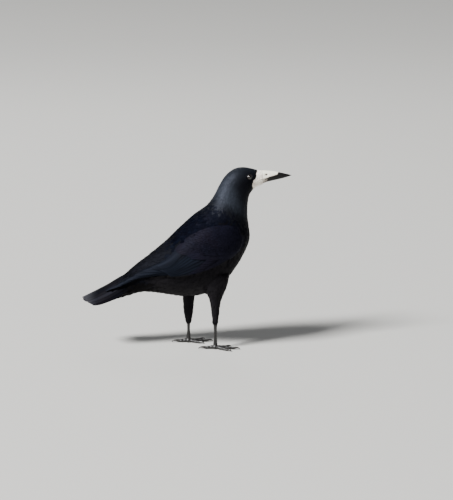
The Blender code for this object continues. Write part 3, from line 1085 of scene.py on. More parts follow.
@dataclass
class ContourPlumage:
    """The body's own feathers: tiny on the face, larger to the rump, each laid along the coat."""

    form: CoatForm
    chart: BodyChart
    skin: Skin
    seed: int = 7
    # (section, length in millimetres) of body feathers
    lengths: tuple = (
        (1.0, 2.6), (2.0, 3.6), (3.5, 5.0), (5.0, 7.5), (6.5, 11.0), (8.0, 14.0), (9.5, 18.0),
        (11.0, 22.0), (13.0, 24.0), (15.0, 26.0), (17.0, 24.0),
    )
    # The same on a thigh: (millimetres over its end, length)
    thigh_lengths: tuple = ((0, 7.0), (10, 10.0), (36, 13.5), (76, 18.0))
    # (length, half width as a share of it)
    widths: tuple = ((3, 0.17), (8, 0.19), (15, 0.23), (22, 0.25))
    # How far apart roots are, as a share of the length: (section, share)
    spacing: tuple = ((0, 0.19), (7.0, 0.19), (9.0, 0.21), (17, 0.22))
    # Painted sheen on head, neck and rump, and the belly's own brownish tone: (section, share) on
    # the upper side, flanks and underside
    bloom: tuple = (
        ((1.0, 0.3), (2.5, 0.5), (4.0, 0.65), (5.0, 0.78), (6.0, 0.8), (6.5, 0.7), (6.9, 0.25),
         (7.3, 0.04), (10.2, 0.0), (10.8, 0.14), (12.8, 0.14), (13.4, 0.0)),
        ((3.6, 0.0), (4.4, 0.12), (5.0, 0.55), (5.6, 0.85), (6.1, 0.75), (6.5, 0.3), (6.9, 0.05),
         (10.2, 0.0), (11.5, 0.3), (12.4, 0.3), (13.2, 0.0)),
        ((4.6, 0.0), (5.4, 0.25), (6.0, 0.5), (6.5, 0.3), (6.9, 0.08), (8.8, 0.0), (9.8, 0.2),
         (11.0, 0.9), (12.2, 0.9), (13.2, 0.0)),
    )
    thigh_bloom: float = 0.5
    # The sections where the head, the neck, the collar, the breast, the mantle and the belly end
    head_end: float = 4.6
    neck_end: float = 7.3
    collar_end: float = 8.3
    breast_end: float = 10.2
    mantle_end: float = 10.6
    belly_end: float = 13.0
    underside: float = 1.4  # where breast and belly begin, in radians from the top
    loose_from: tuple = (9.0, 1.8)  # section and turn beyond which belly feathers are loose
    # Ranges that chance picks from, as shares
    size_range: tuple = (0.88, 1.14)
    width_range: tuple = (0.88, 1.12)
    lift_range: tuple = (0.4, 1.6)
    bloom_range: tuple = (0.8, 1.15)
    silky: float = 8.5  # feathers shorter than this have the simplest vane
    medium: float = 15.0  # and those shorter than this the next one
    swing: float = 7.5  # how far feathers turn from the flow, in degrees
    loose: float = 1.9  # how much further they turn and lift on thighs and belly
    shortest: float = 4.0  # a feather cut shorter than this by the wing is left out
    shank_clear: float = 5.9  # how far trousers hang from the shank's middle
    eye_clear: float = 4.5
    tries: int = 6  # spots drawn for each feather that fits
    # Feathers on these sections, this far ahead, turn to run along the wing beside them
    shoulder: tuple = (6.8, 11.5)
    shoulder_ahead: float = 60.0
    wing_way: tuple = (-0.927, 0.0, -0.375)
    wing_pull: float = 0.75  # how much they turn, as a share, beside the wing
    by_wing_from: float = 9.5  # the section from which feathers are cut short of the wing
    # (x, y) of a foot, and how high the thigh over it ends
    feet: tuple = ((3.0, 24.0, 16.0), (51.0, -24.0, 25.0))
    finishes: tuple = (
        (SILK_FINISH, ("crown", "cheeks", "nape", "throat")), (COLLAR_FINISH, ("collar",)),
        (UNDER_FINISH, ("breast", "belly", "thigh")), (BACK_FINISH, ("mantle",)),
        (RUMP_FINISH, ("rump",)), (VENT_FINISH, ("vent",)),
    )

    def build(self) -> None:
        """Scatter the roots, lay every feather and join them by region."""
        rng = np.random.default_rng(self.seed)
        roots = self.roots(rng)
        meshes: dict[str, FeatherMesh] = {}
        for root, stray in zip(roots, rng.normal(0, 0.35, len(roots))):
            name = self.piece_name(root.region, root.along + stray, root.turn)
            self.lay(meshes.setdefault(name, FeatherMesh(f"plumage_{name}")), root, rng)
        made = {}
        for finish, regions in self.finishes:
            made.update(dict.fromkeys(regions, finish.make()))
        for name, mesh in sorted(meshes.items()):
            hand_over(mesh.build(), made[name.split("_")[0]], "plumage")

    def piece_name(self, region: Region, along: float, turn: float) -> str:
        """The piece that a feather is joined to."""
        upper = abs(turn) < math.pi / 2
        if region in THIGHS:
            return region.name.lower()
        if along < self.head_end:
            return "crown" if upper else "cheeks"
        if along < self.neck_end:
            return "nape" if upper else "throat"
        if along < self.collar_end:
            return "collar"
        if along < self.belly_end:
            if abs(turn) > self.underside:
                return "breast" if along < self.breast_end else "belly"
            return "mantle" if along < self.mantle_end else "rump"
        return "rump" if upper else "vent"

    def bloom_at(self, root: Root) -> float:
        """How pale a feather is painted, by where its root is: painted sheen on head, neck and
        rump, own brownish tone on belly and thighs.
        """
        if root.region is not Region.BODY:
            return self.thigh_bloom
        shares = [float(table_value(table, root.along)) for table in self.bloom]
        return float(np.interp(abs(root.turn), (0.0, math.pi / 2, math.pi), shares))

    def length_at(self, root: Root) -> float:
        """A feather's length in millimetres, by where its root is."""
        if root.region in THIGHS:
            over = root.place[2] / MM - self.foot_under(root)[2]
            return float(table_value(self.thigh_lengths, over))
        return float(table_value(self.lengths, root.along))

    def space_at(self, root: Root, bare: float) -> float:
        """How far apart feathers grow, in metres, without end where none grow."""
        hidden = root.region is Region.BODY and bare > 0.0
        if hidden or root.region not in (Region.BODY, *THIGHS):
            return math.inf
        return self.length_at(root) * float(table_value(self.spacing, root.along)) * MM

    def roots(self, rng: Chance) -> list[Root]:
        """Spread the roots evenly over the form, closer where feathers are shorter."""
        mesh = self.form.mesh
        mesh.calc_loop_triangles()
        corners = np.empty(len(mesh.loop_triangles) * 3, np.int32)
        mesh.loop_triangles.foreach_get("vertices", corners)
        a, b, c = mesh_points(mesh)[corners.reshape(-1, 3)].swapaxes(0, 1)
        cross = np.cross(b - a, c - a)
        facing = unit(cross)
        middle = (a + b + c) / 3
        areas = [
            Root(spot, self.form.region_at(Vector(spot)), *place)
            for spot, *place in zip(middle, *self.chart.locate(middle))
        ]
        space = np.array([self.space_at(*pair) for pair in zip(areas, self.skin.bare_by(middle))])
        want = np.linalg.norm(cross, axis=1) / 2 / space**2 * self.tries
        counts = np.floor(want + rng.random(len(want))).astype(int)
        pick = np.repeat(np.arange(len(want)), counts)
        s, t = rng.random(len(pick)), rng.random(len(pick))
        flip = s + t > 1
        s[flip], t[flip] = 1 - s[flip], 1 - t[flip]
        spots = a[pick] + s[:, None] * (b - a)[pick] + t[:, None] * (c - a)[pick]
        kept = [k for k in self.thinned(spots, space[pick], rng) if not self.in_eye(spots[k])]
        along, turn = self.chart.locate(spots[kept])
        flow = self.chart.flow(along, turn)
        roots = []
        for n, k in enumerate(kept):
            near = pick[k]
            root = Root(spots[k], areas[near].region, along[n], turn[n], facing[near], flow[n])
            root.flow = self.flow_at(root)
            roots.append(root)
        return roots

    @staticmethod
    def thinned(spots: Array, space: Array, rng: Chance) -> list[int]:
        """Pick spots in a random order, each further than its space from those picked."""
        tree = kdtree.KDTree(len(spots))
        for k, spot in enumerate(spots):
            tree.insert(spot, k)
        tree.balance()
        alive = np.ones(len(spots), bool)
        kept = []
        for k in rng.permutation(len(spots)):
            if alive[k]:
                kept.append(k)
                for _, other, _ in tree.find_range(spots[k], space[k]):
                    alive[other] = False
        return kept

    def in_eye(self, spot: Array) -> bool:
        """Whether a feather rooted here would cover an eye."""
        x, z = spot[0] / MM - EYE[0], spot[2] / MM - EYE[2]
        return math.hypot(x, z) < self.eye_clear + (2.2 if x > 0 and abs(z) < 4 else 0.0)

    def flow_at(self, root: Root) -> Array:
        """The way that a feather points: turned along the wing beside it, and down a thigh."""
        x, y, z = root.place
        if root.region in THIGHS:
            share = np.interp(z / MM, (45, 100), (0.0, 1.0))
            return np.array([-0.12 - 0.55 * share, 0.0, -1.0])
        first, last = self.shoulder
        ahead = x > self.shoulder_ahead * MM and first < root.along < last
        if root.region is Region.BODY and ahead:
            wing = self.form.regions[WINGS[0] if y > 0 else WINGS[1]]
            far = wing.find_nearest(Vector(root.place))[3] / MM
            share = self.wing_pull * float(ease(np.array(1.15 - far / 20)))
            return (1 - share) * root.flow + share * np.array(self.wing_way)
        return root.flow

    def lay(self, mesh: FeatherMesh, root: Root, rng: Chance) -> None:
        """Lay one feather on the coat.

        Args:
            mesh: the piece that it joins.
            root: where it grows.
            rng: the seeded source of chance.
        """
        length = self.length_at(root) * rng.uniform(*self.size_range)
        vane = SILK if length < self.silky else MEDIUM if length < self.medium else LARGE
        thigh = root.region in THIGHS
        belly = root.along > self.loose_from[0] and abs(root.turn) > self.loose_from[1]
        loose = self.loose if thigh or belly else 1.0
        width = length * table_value(self.widths, length) * rng.uniform(*self.width_range)
        swing = rng.normal(0, math.radians(self.swing * loose))
        normal = root.normal
        way = unit(root.flow - normal * (root.flow @ normal))
        way = unit(way * math.cos(swing) + np.cross(way, normal) * math.sin(swing))
        side = np.cross(way, normal)
        if root.region is Region.BODY and root.along > self.by_wing_from:
            length *= self.clear_of_wing(root, way, length)
            if length < self.shortest:
                return
        u, v, under, _ = grid = vane.grid()
        reach = length * vane.reach_at(u, v, rng)
        spread = width * vane.width_at(v) * u
        deep = 0.055 * length + 0.25
        lift = (0.05 + 0.012 * length) * rng.uniform(*self.lift_range) * loose
        # The vane rises from its sunk root to its lifted tip, and its edges bend down.
        height = -deep + (deep + lift) * v**0.8 - 0.05 * width * u**2
        ridge, below = vane.relief(u, under, 4.0)
        height += ridge - below
        points = root.place + (way * reach[:, None] + side * spread[:, None]) * MM
        placed = self.form.laid(points, height * MM)
        if thigh:
            placed = self.hung(placed, points + normal * height[:, None] * MM, root)
        bloom = self.bloom_at(root) * rng.uniform(*self.bloom_range)
        mesh.add(placed, grid, self.spot(root), float(rng.random()), min(1.0, bloom))

    def foot_under(self, root: Root) -> tuple[float, float, float]:
        """The foot below a thigh feather, and how high the thigh ends, in millimetres."""
        return min(self.feet, key=lambda foot: abs(foot[1] * MM - root.place[1]))

    def hung(self, placed: Array, free: Array, root: Root) -> Array:
        """Let the parts of a thigh feather below the thigh's end hang free round the shank.

        Args:
            placed: its points laid on the coat.
            free: its points straight from the root.
            root: where it grows.

        Returns:
            The points to use.
        """
        *foot, end = self.foot_under(root)
        axis = np.array(foot) * MM
        away = free[:, :2] - axis
        far = np.linalg.norm(away, axis=1, keepdims=True)
        drop = (end - free[:, 2] / MM)[:, None]
        close = np.clip(far, 0, (self.shank_clear - 0.35 * np.clip(drop, 0, 7)) * MM)
        out = free.copy()
        out[:, :2] = axis + away / np.maximum(far, 1e-9) * close
        share = ease((drop + 2.5) / 3.0)
        return placed * (1 - share) + out * share

    def clear_of_wing(self, root: Root, way: Array, length: float) -> float:
        """The share of its length that a feather can have without covering a wing."""
        for share in (1.0, 0.8, 0.6, 0.4):
            end = Vector(root.place + way * (length * share * MM))
            if self.form.region_at(self.form.tree.find_nearest(end)[0]) not in WINGS:
                return share
        return 0.0

    def spot(self, root: Root) -> tuple[float, float]:
        """A root's place on the unwrap: the body below, and the thighs side by side above."""
        if root.region in THIGHS:
            x, y, z = root.place / MM
            foot_x, foot_y, _ = self.foot_under(root)
            bend = math.atan2(y - foot_y, x - foot_x) / math.tau
            middle = 0.25 if root.region is Region.THIGH_LEFT else 0.75
            return middle + 0.46 * bend, float(0.9 + 0.09 * (z - 13) / 101)
        return 0.01 + 0.98 * root.along / 17, 0.01 + 0.86 * (root.turn / math.tau + 0.5)


# ------------ Wings and tail ------------


@dataclass(frozen=True)
class Quill:
    """One long feather: where it starts and ends on its chart, and how deep it lies."""

    start: tuple[float, float]
    end: tuple[float, float]
    half_width: float
    deep: float  # millimetres under the form at its root
    high: float  # millimetres over the form at its tip
    tilt: float = 0.3  # millimetres that its lower edge stands over its middle
    sag: float = 0.0  # millimetres that its middle lies over the line from root to tip


@dataclass
class WingChart:
    """Coordinates on a folded wing, seen from the side.

    The first is millimetres behind the bend of the wing, and the second the share of the way from
    the wing's lower edge to its upper edge.
    """

    form: CoatForm
    side: Side
    origin: tuple = (100.0, 182.0)
    back: tuple = (-0.927, -0.375)
    up: tuple = (-0.375, 0.927)
    length: float = 266.0
    cast_from: float = 0.09  # how far out a ray to the coat starts, in metres
    cast_reach: float = 0.088  # how far it may go
    beside: float = 0.03  # how far out the coat is sought where a ray finds nothing
    places: Array = field(init=False)
    low: Array = field(init=False)
    high: Array = field(init=False)

    def __post_init__(self) -> None:
        """Find the wing's lower and upper edges along it."""
        mesh = self.form.solid(f"wing_{self.side.word}")
        points = mesh_points(mesh) / MM - (0.0, 0.0, STANDING_LIFT)
        ends = np.array([edge.vertices[:] for edge in mesh.edges])
        shares = np.linspace(0, 1, 9)[:, None, None]
        dense = (points[ends[:, 0]] * (1 - shares) + points[ends[:, 1]] * shares).reshape(-1, 3)
        a, b = self.flat(dense)
        self.places = np.arange(0.0, self.length + 1, 4.0)
        near = [np.abs(a - at) < 5.0 for at in self.places]
        self.low = np.array([b[mask].min() for mask in near])
        self.high = np.array([b[mask].max() for mask in near])

    def flat(self, points: Array) -> tuple[Array, Array]:
        """Side-view coordinates, in millimetres, of points in millimetres."""
        x, z = points[:, 0] - self.origin[0], points[:, 2] - self.origin[1]
        return x * self.back[0] + z * self.back[1], x * self.up[0] + z * self.up[1]

    def edges(self, a: float | Array) -> tuple[Array, Array]:
        """The wing's lower and upper edge, this far behind its bend."""
        return np.interp(a, self.places, self.low), np.interp(a, self.places, self.high)

    def locate(self, points: Array) -> tuple[Array, Array]:
        """Chart coordinates of points in metres."""
        a, b = self.flat(points / MM)
        low, high = self.edges(a)
        return a, (b - low) / (high - low)

    def along(self, quill: Quill, share: Array) -> Array:
        """Side-view points on a quill's shaft, by the share of the way to its end."""
        a, c = (one + share * (two - one) for one, two in zip(quill.start, quill.end))
        low, high = self.edges(a)
        return np.stack([a, low + c * (high - low)], 1)

    def lay(self, quill: Quill, grid: tuple, vane: Vane, rng: Chance) -> Array:
        """Lay one quill on the wing.

        Args:
            quill: the feather.
            grid: its vane's grid.
            vane: its vane.
            rng: the seeded source of chance.

        Returns:
            The grid's points, in metres.
        """
        u, v, under, _ = grid
        reach = vane.reach_at(u, v, rng)
        way = unit(self.along(quill, reach + 0.04) - self.along(quill, reach - 0.04))
        across = np.stack([-way[:, 1], way[:, 0]], 1)
        half = (quill.half_width * vane.width_at(v) * u)[:, None]
        flat = self.along(quill, reach) + across * half
        a = np.clip(flat[:, 0], 0, self.length - 0.5)
        low, high = self.edges(a)
        room = np.minimum(0.9, 0.3 * (high - low))
        b = np.clip(flat[:, 1], low + room, high - room)
        ridge, below = vane.relief(u, under)
        # The vane rises from its sunk root to its tip, with its lower edge and its shaft raised.
        height = -quill.deep * (1 - v) ** 1.3 + quill.high * v
        height += quill.sag * np.sin(math.pi * np.clip(v * 1.15, 0, 1))
        height += -quill.tilt * np.clip(u, -1, 1) * v**0.5 - below
        height += ridge * (1 - 0.7 * v)
        x, z = (self.origin[n] + a * self.back[n] + b * self.up[n] for n in (0, 1))
        out = np.empty((len(u), 3))
        sign = self.side.value
        for k in range(len(u)):
            start = Vector((x[k] * MM, sign * self.cast_from, z[k] * MM))
            place, normal, _, far = self.form.tree.ray_cast(start, Vector((0, -sign, 0)))
            if place is None or far > self.cast_reach:
                start.y = sign * self.beside
                place, normal, _, _ = self.form.tree.find_nearest(start)
            out[k] = place + normal * (height[k] * MM)
        return out


@dataclass(frozen=True)
class CovertRow:
    """A row of coverts, with its sizes in millimetres."""

    count: int
    ahead: float  # how far ahead of the greater coverts' ends it ends
    length: float
    half_width: float
    high: float


@dataclass
class FoldedWing:
    """A folded wing: flight feathers in their order under rows of coverts."""

    form: CoatForm
    side: Side
    seed: int = 11
    # Primaries from the outermost: (tip behind the bend in millimetres)
    primaries: tuple = (236.0, 254.0, 263.0, 262.0, 254.0, 240.0, 222.0, 203.0, 186.0)
    secondaries: int = 9
    tertials: tuple = ((166.0, 0.9), (172.0, 0.93), (174.0, 0.87), (164.0, 0.8))
    primary_coverts: int = 7
    alula: tuple = (84.0, 73.0, 62.0)
    # Where the greater coverts end: (share of the way up, millimetres behind the bend)
    covert_line: tuple = ((0.0, 38.0), (0.14, 48.0), (0.45, 98.0), (0.86, 118.0), (1.0, 121.0))
    covert_rows: tuple = (
        CovertRow(12, 0.0, 37.0, 7.6, 0.35),
        CovertRow(14, 20.0, 24.0, 6.3, 0.6),
    )
    lesser_ahead: float = 32.0  # how far ahead of the greater coverts' ends the lesser start
    # How far apart lesser coverts are, as shares of their length: along the wing and across it
    lesser_steps: tuple = (0.33, 0.3)
    # How long a feather's patch on the unwrap is
    flight_patch: float = 0.04
    covert_patch: float = 0.02
    lesser_lengths: tuple = ((0.0, 5.5), (30.0, 8.0), (90.0, 12.5))
    # Painted sheen in bands, with painted shadow at 0.3 and from 0.6 to 0.76: (share of the way up,
    # share)
    bands: tuple = (
        (0.0, 0.25), (0.05, 0.5), (0.26, 0.55), (0.30, 0.0), (0.34, 0.7), (0.54, 0.75), (0.6, 0.15),
        (0.66, 0.0), (0.76, 0.0), (0.82, 0.25), (1.0, 0.2),
    )
    finish: Plumage = Plumage(
        "flight feathers, black keratin with blue gloss",
        "#040508", "#0a0c12", "#100d0f", "#141821", "#a2adcc", 0.06, 0.55,
        edge=0.75, barbs_per_length=90.0, barb_bump=0.07,
    )
    covert_finish: Plumage = Plumage(
        "wing coverts, black keratin, worn brownish",
        "#040407", "#0a0a12", "#140f14", "#13131e", "#b0b0d0", 0.06, 0.57, wear=0.6, edge=0.6,
    )
    chart: WingChart = field(init=False)
    rng: Chance = field(init=False)

    def __post_init__(self) -> None:
        """Chart the wing and seed its source of chance."""
        self.chart = WingChart(self.form, self.side)
        self.rng = np.random.default_rng(self.seed + self.side.value)

    def build(self) -> None:
        """Lay every row and join the feathers to pieces."""
        name = f"wing_{self.side.word}"
        flight = FeatherMesh(f"{name}_flight")
        self.rows(flight, FLIGHT, self.flight_quills(), self.flight_patch)
        coverts = FeatherMesh(f"{name}_coverts")
        self.rows(coverts, COVERT, self.primary_covert_quills(), self.covert_patch)
        for row in self.covert_rows:
            self.rows(coverts, COVERT, self.covert_quills(row), self.covert_patch)
        self.rows(coverts, COVERT, self.alula_quills(), self.covert_patch)
        self.lesser(coverts)
        hand_over(flight.build(), self.finish.make(), "flight", name)
        hand_over(coverts.build(), self.covert_finish.make(), "flight", name)

    def flight_quills(self) -> list[Quill]:
        """The primaries, then the secondaries and tertials over them."""
        quills = []
        for k, tip in enumerate(self.primaries):
            start, end = (88.0, 0.04 + 0.05 * k), (tip, 0.12 + 0.09 * k)
            deep, high = 2.5 - 0.06 * k, -0.6 + 0.05 * k
            quills.append(Quill(start, end, 7.5, deep, high, tilt=0.5, sag=-0.9))
        for share in (k / (self.secondaries - 1) for k in range(self.secondaries)):
            start = (58.0 + 18 * share, 0.16 + 0.7 * share)
            end = (146 + 20 * share, 0.2 + 0.68 * share)
            half_width, high = 9.5 + 2 * share, 0.5 - 0.3 * share
            quills.append(Quill(start, end, half_width, deep=1.6, high=high, tilt=0.75))
        for k, (tip, rise) in enumerate(self.tertials):
            start, end = (84.0, 0.8 + 0.04 * k), (tip - 2 * k, rise)
            quills.append(Quill(start, end, half_width=10.5, deep=1.2, high=0.5 + 0.15 * k))
        return quills

    def primary_covert_quills(self) -> list[Quill]:
        """Long narrow coverts over the primaries' roots, along the wing's lower edge."""
        quills = []
        for k in range(self.primary_coverts):
            tip, rise = 116.0 - 6.5 * k, 0.05 + 0.035 * k
            start, end, high = (tip - 44, rise - 0.02), (tip, rise), 0.2 + 0.05 * k
            quills.append(Quill(start, end, half_width=5.0, deep=1.4, high=high, tilt=0.2))
        return quills

    def covert_quills(self, row: CovertRow) -> list[Quill]:
        """The greater or the median coverts."""
        quills = []
        for k in range(row.count):
            rise = 0.1 + 0.82 * k / (row.count - 1)
            tip = table_value(self.covert_line, rise) - row.ahead + self.rng.uniform(-1.2, 1.2)
            start, end = (max(2.0, tip - row.length), rise - 0.02), (tip, rise + 0.012)
            high = row.high + 0.02 * k
            quills.append(Quill(start, end, row.half_width, deep=1.3, high=high, tilt=0.25))
        return quills

    def alula_quills(self) -> list[Quill]:
        """The three stiff feathers at the wrist, along the lower edge."""
        quills = []
        for k, tip in enumerate(self.alula):
            start, end = (tip - 34 + 4 * k, 0.04 + 0.02 * k), (tip, 0.045 + 0.03 * k)
            quills.append(Quill(start, end, half_width=4.2, deep=1.2, high=0.5 + 0.1 * k))
        return quills

    @staticmethod
    def spot(a: float, c: float) -> tuple[float, float]:
        """The place on the unwrap of a feather that starts here on the chart."""
        return 0.01 + 0.98 * a / UNWRAP_LENGTH, 0.02 + 0.96 * c

    def rows(self, mesh: FeatherMesh, vane: Vane, quills: list[Quill], patch: float) -> None:
        """Lay quills and give each its own patch on the unwrap.

        Args:
            mesh: the piece that they join.
            vane: their vane.
            quills: the feathers.
            patch: how long a patch is.
        """
        grid = vane.grid()
        for quill in quills:
            spot = self.spot(quill.start[0], min(1.0, quill.start[1]))
            tone = float(self.rng.random())
            points = self.chart.lay(quill, grid, vane, self.rng)
            bloom = self.bloom_at(points) * self.rng.uniform(0.75, 1.1)
            mesh.add(points, grid, spot, tone, bloom, (patch / 4, patch))

    def bloom_at(self, points: Array) -> Array:
        """How pale the feathers are painted: painted light on the coverts, in bands of painted
        sheen and shadow along the flight feathers.
        """
        a, c = self.chart.locate(points)
        rear = ease((a - 72) / 36)
        # Painted light: the coverts are paler towards the wing's front, where they lie in shade.
        front = 0.45 + 0.55 * ease((70 - a) / 60)
        painted_banded = table_value(self.bands, c) * (1 - 0.6 * ease((a - 140) / 60))
        return np.clip((1 - rear) * front + rear * painted_banded, 0, 1)

    def lesser(self, mesh: FeatherMesh) -> None:
        """Add the small coverts, in a brickwork of short rows, from the median ones to the bend."""
        uniform, grid = self.rng.uniform, MEDIUM.grid()
        a = float(table_value(self.covert_line, 1.0)) - self.lesser_ahead - 2.0
        row = 0
        while a > -1.0:
            long = float(table_value(self.lesser_lengths, a))
            low, high = self.chart.edges(a)
            count = max(3, round((high - low) / (self.lesser_steps[1] * long)))
            for k in range(count):
                c = (k + 0.5 * (row % 2) + uniform(-0.25, 0.25)) / count
                limit = float(table_value(self.covert_line, c)) - self.lesser_ahead
                at = a + uniform(-0.12, 0.12) * long
                if at > limit or not 0 <= c <= 1:
                    continue
                size = long * uniform(0.9, 1.15)
                end = (at + size, c + self.rng.normal(0, 0.012))
                quill = Quill((at, c), end, 0.34 * size, deep=0.9, high=0.75, tilt=0.1)
                points = self.chart.lay(quill, grid, MEDIUM, self.rng)
                bloom = self.bloom_at(points) * uniform(0.5, 1.2)
                mesh.add(points, grid, self.spot(max(0.0, at), c), float(self.rng.random()), bloom)
            a -= self.lesser_steps[0] * long
            row += 1


@dataclass
class Tail:
    """Twelve tail feathers, folded like a roof, the middle pair on top and longest."""

    seed: int = 23
    # Along the closed tail: (step, x and z of the upper line, x and z of the lower, half width)
    keys: tuple = (
        (0, -92.0, 113.0, -70.0, 70.0, 17.5), (1, -116.0, 101.0, -95.0, 54.0, 21.5),
        (2, -140.0, 86.2, -120.0, 42.5, 24.5), (3, -164.0, 73.4, -147.0, 39.0, 26.3),
        (4, -178.0, 66.3, -164.0, 39.5, 26.0), (5, -184.6, 62.9, -172.0, 40.5, 25.5),
    )
    # For each pair from the middle: turn from the top in degrees, and share of the length
    pairs: tuple = ((9, 1.0), (22, 0.99), (35, 0.975), (48, 0.95), (61, 0.92), (73, 0.88))
    spread: float = 15.0  # half width of a feather, in degrees
    widest_turn: float = 86.0  # the tail's lower edge, in degrees from the top
    thick: tuple = ((0.0, 5.0), (0.4, 4.0), (0.7, 3.0), (1.0, 1.6))
    vane_thick: float = 0.3
    ridge: float = 0.25
    # Behind this the feathers are painted paler, for wear and as painted highlight on their ends.
    worn_from: float = -156.0  # distance ahead behind which the feathers pale, over 26 mm
    finish: Plumage = Plumage(
        "tail feathers, black keratin with blue gloss",
        "#030305", "#09090e", "#100c0c", "#38383c", "#b4b8d2", 0.05, 0.52,
        edge=0.6, barbs_per_length=90.0, barb_bump=0.07,
    )

    def surface(self, share: Array, turn: Array) -> Array:
        """Points on the tail's upper surface, in millimetres.

        Args:
            share: how far along the tail.
            turn: the turn from the top, in radians.
        """
        tx, tz, bx, bz, wide = columns_at(self.keys, share * (len(self.keys) - 1))
        rise, y = np.cos(turn), wide * np.sin(turn)
        x = (tx + bx) / 2 + (tx - bx) / 2 * rise
        z = (tz + bz) / 2 + (tz - bz) / 2 * rise
        return np.stack([x + 15.0 * share * (y / 26.5) ** 2, y, z], 1)

    def normal(self, share: Array, turn: Array) -> Array:
        """The outward way on the tail's upper surface."""
        ahead = self.surface(share + 0.02, turn) - self.surface(share - 0.02, turn)
        across = self.surface(share, turn + 0.02) - self.surface(share, turn - 0.02)
        return unit(np.cross(ahead, across) * -1)

    def build(self) -> None:
        """Lay each feather, above and below."""
        rng = np.random.default_rng(self.seed)
        mesh = FeatherMesh("tail_feathers")
        for face in (1, -1):
            for k, (turn, reach) in enumerate(self.pairs[::-1]):
                for side in Side:
                    spot = (0.05 + 0.08 * k + 0.48 * (side is Side.RIGHT), 0.25 + 0.5 * (face > 0))
                    points = self.lay(turn * side.value, reach, side.value, face, rng)
                    # Painted highlight and wear: the worn ends of the feathers are painted paler,
                    # as where light catches them.
                    worn = 0.8 * ease((self.worn_from - points[:, 0] / MM) / 26)
                    tone = float(rng.random())
                    mesh.add(points, FLIGHT.grid(), spot, tone, worn, (0.02, 0.2))
        hand_over(mesh.build(), self.finish.make(), "flight", "tail")

    def lay(
        self, turn: float, reach: float, outer: int, face: int, rng: Chance
    ) -> Array:
        """Lay one tail feather.

        Args:
            turn: its middle's turn from the top, in degrees.
            reach: how far along the tail it ends.
            outer: 1 for the left side, -1 for the right.
            face: 1 for its upper side, -1 for the underside of the tail.
            rng: the seeded source of chance.

        Returns:
            The grid's points, in metres.
        """
        u, v, under, _ = FLIGHT.grid()
        u = u * outer * -1
        fray = np.where(v > 0.93, rng.uniform(-0.002, 0.002, len(v)), 0)
        share = reach * v * (1 - 0.035 * np.abs(u) ** 2.5 * v**4) + fray
        round_it = np.radians(turn + self.spread * FLIGHT.width_at(v) * u * (1 - 0.25 * v))
        edge = math.radians(self.widest_turn)
        round_it = np.clip(round_it, -edge, edge)
        # Each feather's inner edge and root tuck in, and the middle pair lies on top.
        lift = -0.35 * (1 - v) + 0.1 + 0.35 * u * outer + 0.012 * (80 - abs(turn))
        lift -= self.vane_thick * under
        lift += self.ridge * (1 - np.minimum(1, np.abs(u) * 6))
        if face < 0:
            inward = (self.widest_turn - np.degrees(np.abs(round_it))) / 20
            edge = 0.45 + 0.55 * np.clip(inward, 0, 1)
            lift = -table_value(self.thick, share) * edge - lift * 0.5
        return (self.surface(share, round_it) + self.normal(share, round_it) * lift[:, None]) * MM


# ------------ Bill, eyes, legs ------------


